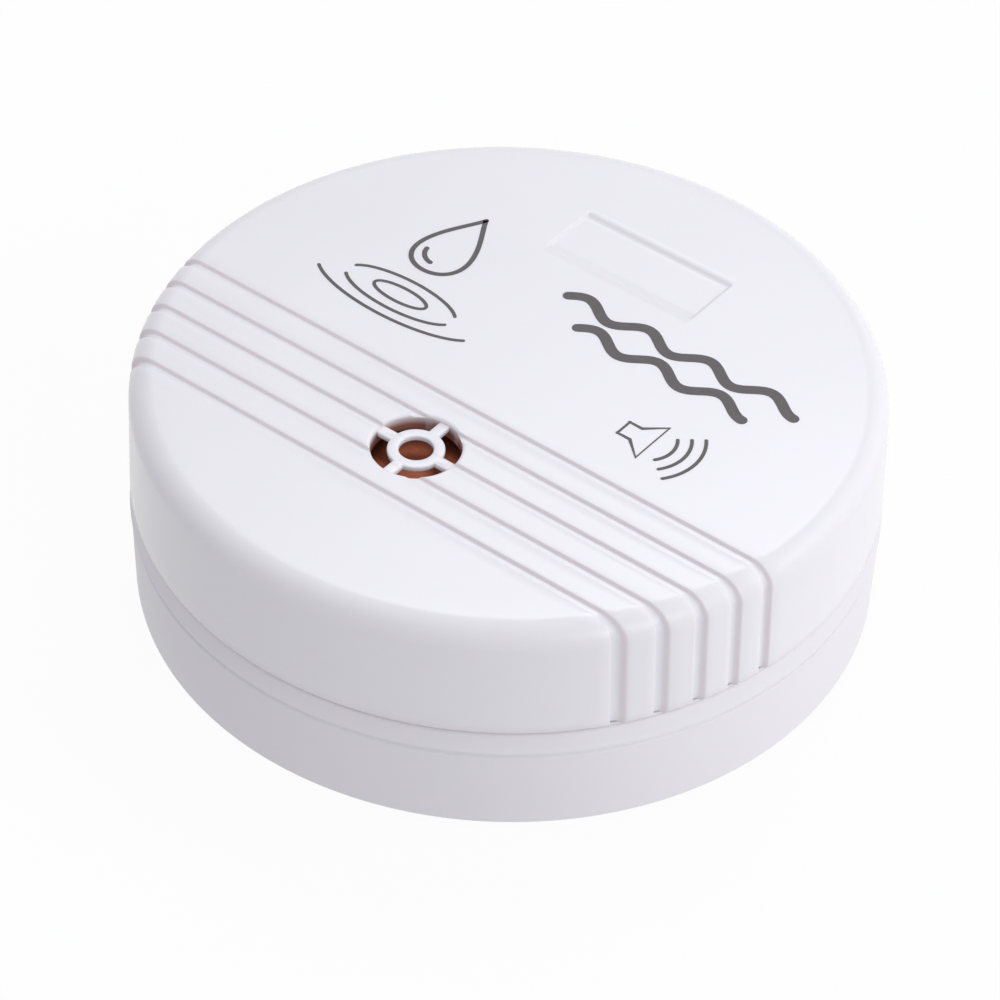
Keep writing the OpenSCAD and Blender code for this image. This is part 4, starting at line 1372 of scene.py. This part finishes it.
def inked(name, lines, width):
    """Prints a set of lines, each a list of points and whether it closes."""
    points = []
    edges = []
    for line, closed in lines:
        start = len(points)
        points += [(x, y, z_top - ink_film / 2) for x, y in line]
        edges += [(start + k, start + k + 1) for k in range(len(line) - 1)]
        if closed:
            edges.append((start + len(line) - 1, start))
    mesh = bpy.data.meshes.new(name)
    mesh.from_pydata([tuple(c * MM for c in p) for p in points], edges, [])
    route = bpy.data.objects.new(name + "_route", mesh)
    bpy.context.scene.collection.objects.link(route)
    made = INKED.run(name, Lines=route, Width=width * MM, Film=ink_film * MM, Material=print_ink)
    bpy.data.objects.remove(route)
    return hand_over(shade(outward(made)), print_ink, "case", "component_black")


# %% Print the motifs
drop_xy = (-13.0, 9.3)
ripple_xy = (-12.4, 1.6)
speaker_xy = (11.0, 0.2)

drop_lines = [(drop_line(*drop_xy, 5.2, 8.2), True),
              (arc_line(drop_xy[0], drop_xy[1] - 1.5, 1.5, 1.5, 190, 265, 16), False)]
ripple_lines = [(arc_line(*ripple_xy, 2.6, 0.85, 0, 360, 48)[:-1], True),
                (arc_line(*ripple_xy, 5.4, 1.9, 20, 160), False),
                (arc_line(*ripple_xy, 5.4, 1.9, 200, 340), False),
                (arc_line(*ripple_xy, 8.2, 2.9, 205, 335), False)]
x, y = speaker_xy
cone = [(x, y - 0.8), (x + 1.2, y - 0.8), (x + 2.8, y - 2.2),
        (x + 2.8, y + 2.2), (x + 1.2, y + 0.8), (x, y + 0.8)]
speaker_lines = [(cone, True)]
speaker_lines += [(arc_line(x + 2.2, y, r, r, -38, 38, 20), False) for r in (2.4, 3.5, 4.6)]
wave_lines = [(wave_line(-2.0 + step, 20.5 - step, 10.1 - 2.7 * k, 0.7, 6.0), False)
              for k, step in enumerate((0.0, 3.0))]

inked("print_drop", drop_lines, 0.42)
inked("print_ripples", ripple_lines, 0.3)
inked("print_speaker", speaker_lines, 0.3)
inked("print_waves", wave_lines, 0.95)

# %% [markdown]
# ## Floor and light
# The alarm stands on a white sheet under soft lamps. A sheet that is lit to pure white would burn out the
# white plastic too. So the sheet and the world look white only to rays that see them directly, from the
# camera or by way of a shiny or clear surface, and every other ray meets a plain surface or a dim sky.
# A small share of the lit sheet is kept in view, because it carries the soft shadow.

# %% Rays that see the set directly
def direct_rays(tree):
    """One for rays from the camera, from a shine or through a clear piece."""
    path = place(tree, "ShaderNodeLightPath")
    seen = path.outputs["Is Camera Ray"]
    for kind in ("Is Glossy Ray", "Is Transmission Ray"):
        either = place(tree, "ShaderNodeMath", {"operation": "MAXIMUM"})
        tree.links.new(seen, either.inputs[0])
        tree.links.new(path.outputs[kind], either.inputs[1])
        seen = either.outputs[0]
    return seen


# %% Paint of the floor: clear to all other rays and from below, so that the underside gets light too
def floor_paint():
    material = bpy.data.materials.new("floor_paint")
    material.use_nodes = True
    tree = material.node_tree
    sheet = tree.nodes["Principled BSDF"]
    sheet.inputs["Base Color"].default_value = (0.9, 0.9, 0.9, 1.0)
    sheet.inputs["Roughness"].default_value = 0.9
    seen = direct_rays(tree)
    white = place(tree, "ShaderNodeEmission", Color=(1.0, 1.0, 1.0, 1.0), Strength=1.0)
    top = place(tree, "ShaderNodeMixShader", Fac=white_share)
    tree.links.new(sheet.outputs[0], top.inputs[1])
    tree.links.new(white.outputs[0], top.inputs[2])
    solid = place(tree, "ShaderNodeMath", {"operation": "SUBTRACT", "use_clamp": True})
    tree.links.new(seen, solid.inputs[0])
    tree.links.new(place(tree, "ShaderNodeNewGeometry").outputs["Backfacing"], solid.inputs[1])
    both = place(tree, "ShaderNodeMixShader")
    tree.links.new(solid.outputs[0], both.inputs[0])
    tree.links.new(place(tree, "ShaderNodeBsdfTransparent").outputs[0], both.inputs[1])
    tree.links.new(top.outputs[0], both.inputs[2])
    tree.links.new(both.outputs[0], tree.nodes["Material Output"].inputs["Surface"])
    return material


white_share = 0.93
floor_half = 3000.0
# A hair below the feet, since two faces in one plane would flicker
floor_z = -0.02
floor_corners = [(-floor_half, -floor_half, floor_z), (floor_half, -floor_half, floor_z),
                 (floor_half, floor_half, floor_z), (-floor_half, floor_half, floor_z)]
floor = new_object("floor", floor_corners, [(0, 1, 2, 3)])
floor.data.materials.append(floor_paint())
floor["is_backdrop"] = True
print("floor:", floor.data.materials[0].name)

# %% World: below the horizon it stands in for the floor, which is darker to the left
below_left = 0.5
below_right = 0.82
horizon = 0.45
zenith = 0.78
world = bpy.data.worlds.new("studio")
bpy.context.scene.world = world
world.use_nodes = True
sky = world.node_tree
sky.nodes["Background"].inputs["Color"].default_value = (0.975, 0.97, 1.0, 1.0)
looking = place(sky, "ShaderNodeTexCoord").outputs["Generated"]
to_right = place(sky, "ShaderNodeVectorMath", {"operation": "DOT_PRODUCT"})
sky.links.new(looking, to_right.inputs[0])
to_right.inputs[1].default_value = seen_from_camera(1.0, 0.0, 0.0)
from_below = place(sky, "ShaderNodeMapRange", Value=to_right.outputs["Value"], From_Min=-0.8, From_Max=0.6,
                   To_Min=below_left, To_Max=below_right)
rise = place(sky, "ShaderNodeSeparateXYZ", Vector=looking).outputs["Z"]
from_above = place(sky, "ShaderNodeMapRange", Value=rise, From_Min=0.0, From_Max=1.0,
                   To_Min=horizon, To_Max=zenith)
strength = place(sky, "ShaderNodeMapRange", Value=rise, From_Min=-0.1, From_Max=0.1,
                 To_Min=from_below.outputs["Result"], To_Max=from_above.outputs["Result"])
sky.links.new(strength.outputs["Result"], sky.nodes["Background"].inputs["Strength"])
white_sky = place(sky, "ShaderNodeBackground", Color=(1.0, 1.0, 1.0, 1.0), Strength=1.0)
sky_mix = place(sky, "ShaderNodeMixShader")
sky.links.new(direct_rays(sky), sky_mix.inputs[0])
sky.links.new(sky.nodes["Background"].outputs[0], sky_mix.inputs[1])
sky.links.new(white_sky.outputs[0], sky_mix.inputs[2])
sky.links.new(sky_mix.outputs[0], sky.nodes["World Output"].inputs["Surface"])
print("world:", len(sky.nodes), "nodes")


# %% Lamps, placed as the camera sees them
def softbox(name, right, back, up, size, power, colour=(1.0, 1.0, 1.0)):
    lamp = bpy.data.lights.new(name, "AREA")
    lamp.shape = "DISK"
    lamp.size = size
    lamp.energy = power
    lamp.color = colour
    made = bpy.data.objects.new(name, lamp)
    bpy.context.scene.collection.objects.link(made)
    made.location = seen_from_camera(right, back, up)
    made.rotation_euler = (-made.location).to_track_quat("-Z", "Y").to_euler()
    return made


cool = (0.95, 0.955, 1.0)
right_side = softbox("right_side", 0.8, -0.05, 0.3, 0.5, 2.0)
# Seen from the side, its mirror image would lie on the flat top as a glare
right_side.visible_glossy = False
lamps = [right_side,
         softbox("front_right", 0.45, -0.6, 0.35, 0.5, 1.0),
         softbox("back_high", 0.1, 0.5, 0.68, 0.4, 1.35, cool)]
bpy.context.scene.view_settings.view_transform = "Standard"
print("lamps:", [lamp.name for lamp in lamps])

# %% [markdown]
# ## Size of the finished model
# The box round the finished model is printed in millimetres, so that a piece that grew or moved shows up
# as a number.

# %% Print the size of the model
low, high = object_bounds()
print("visual box, mm:", [round(v / MM, 2) for v in (*low, *high)])
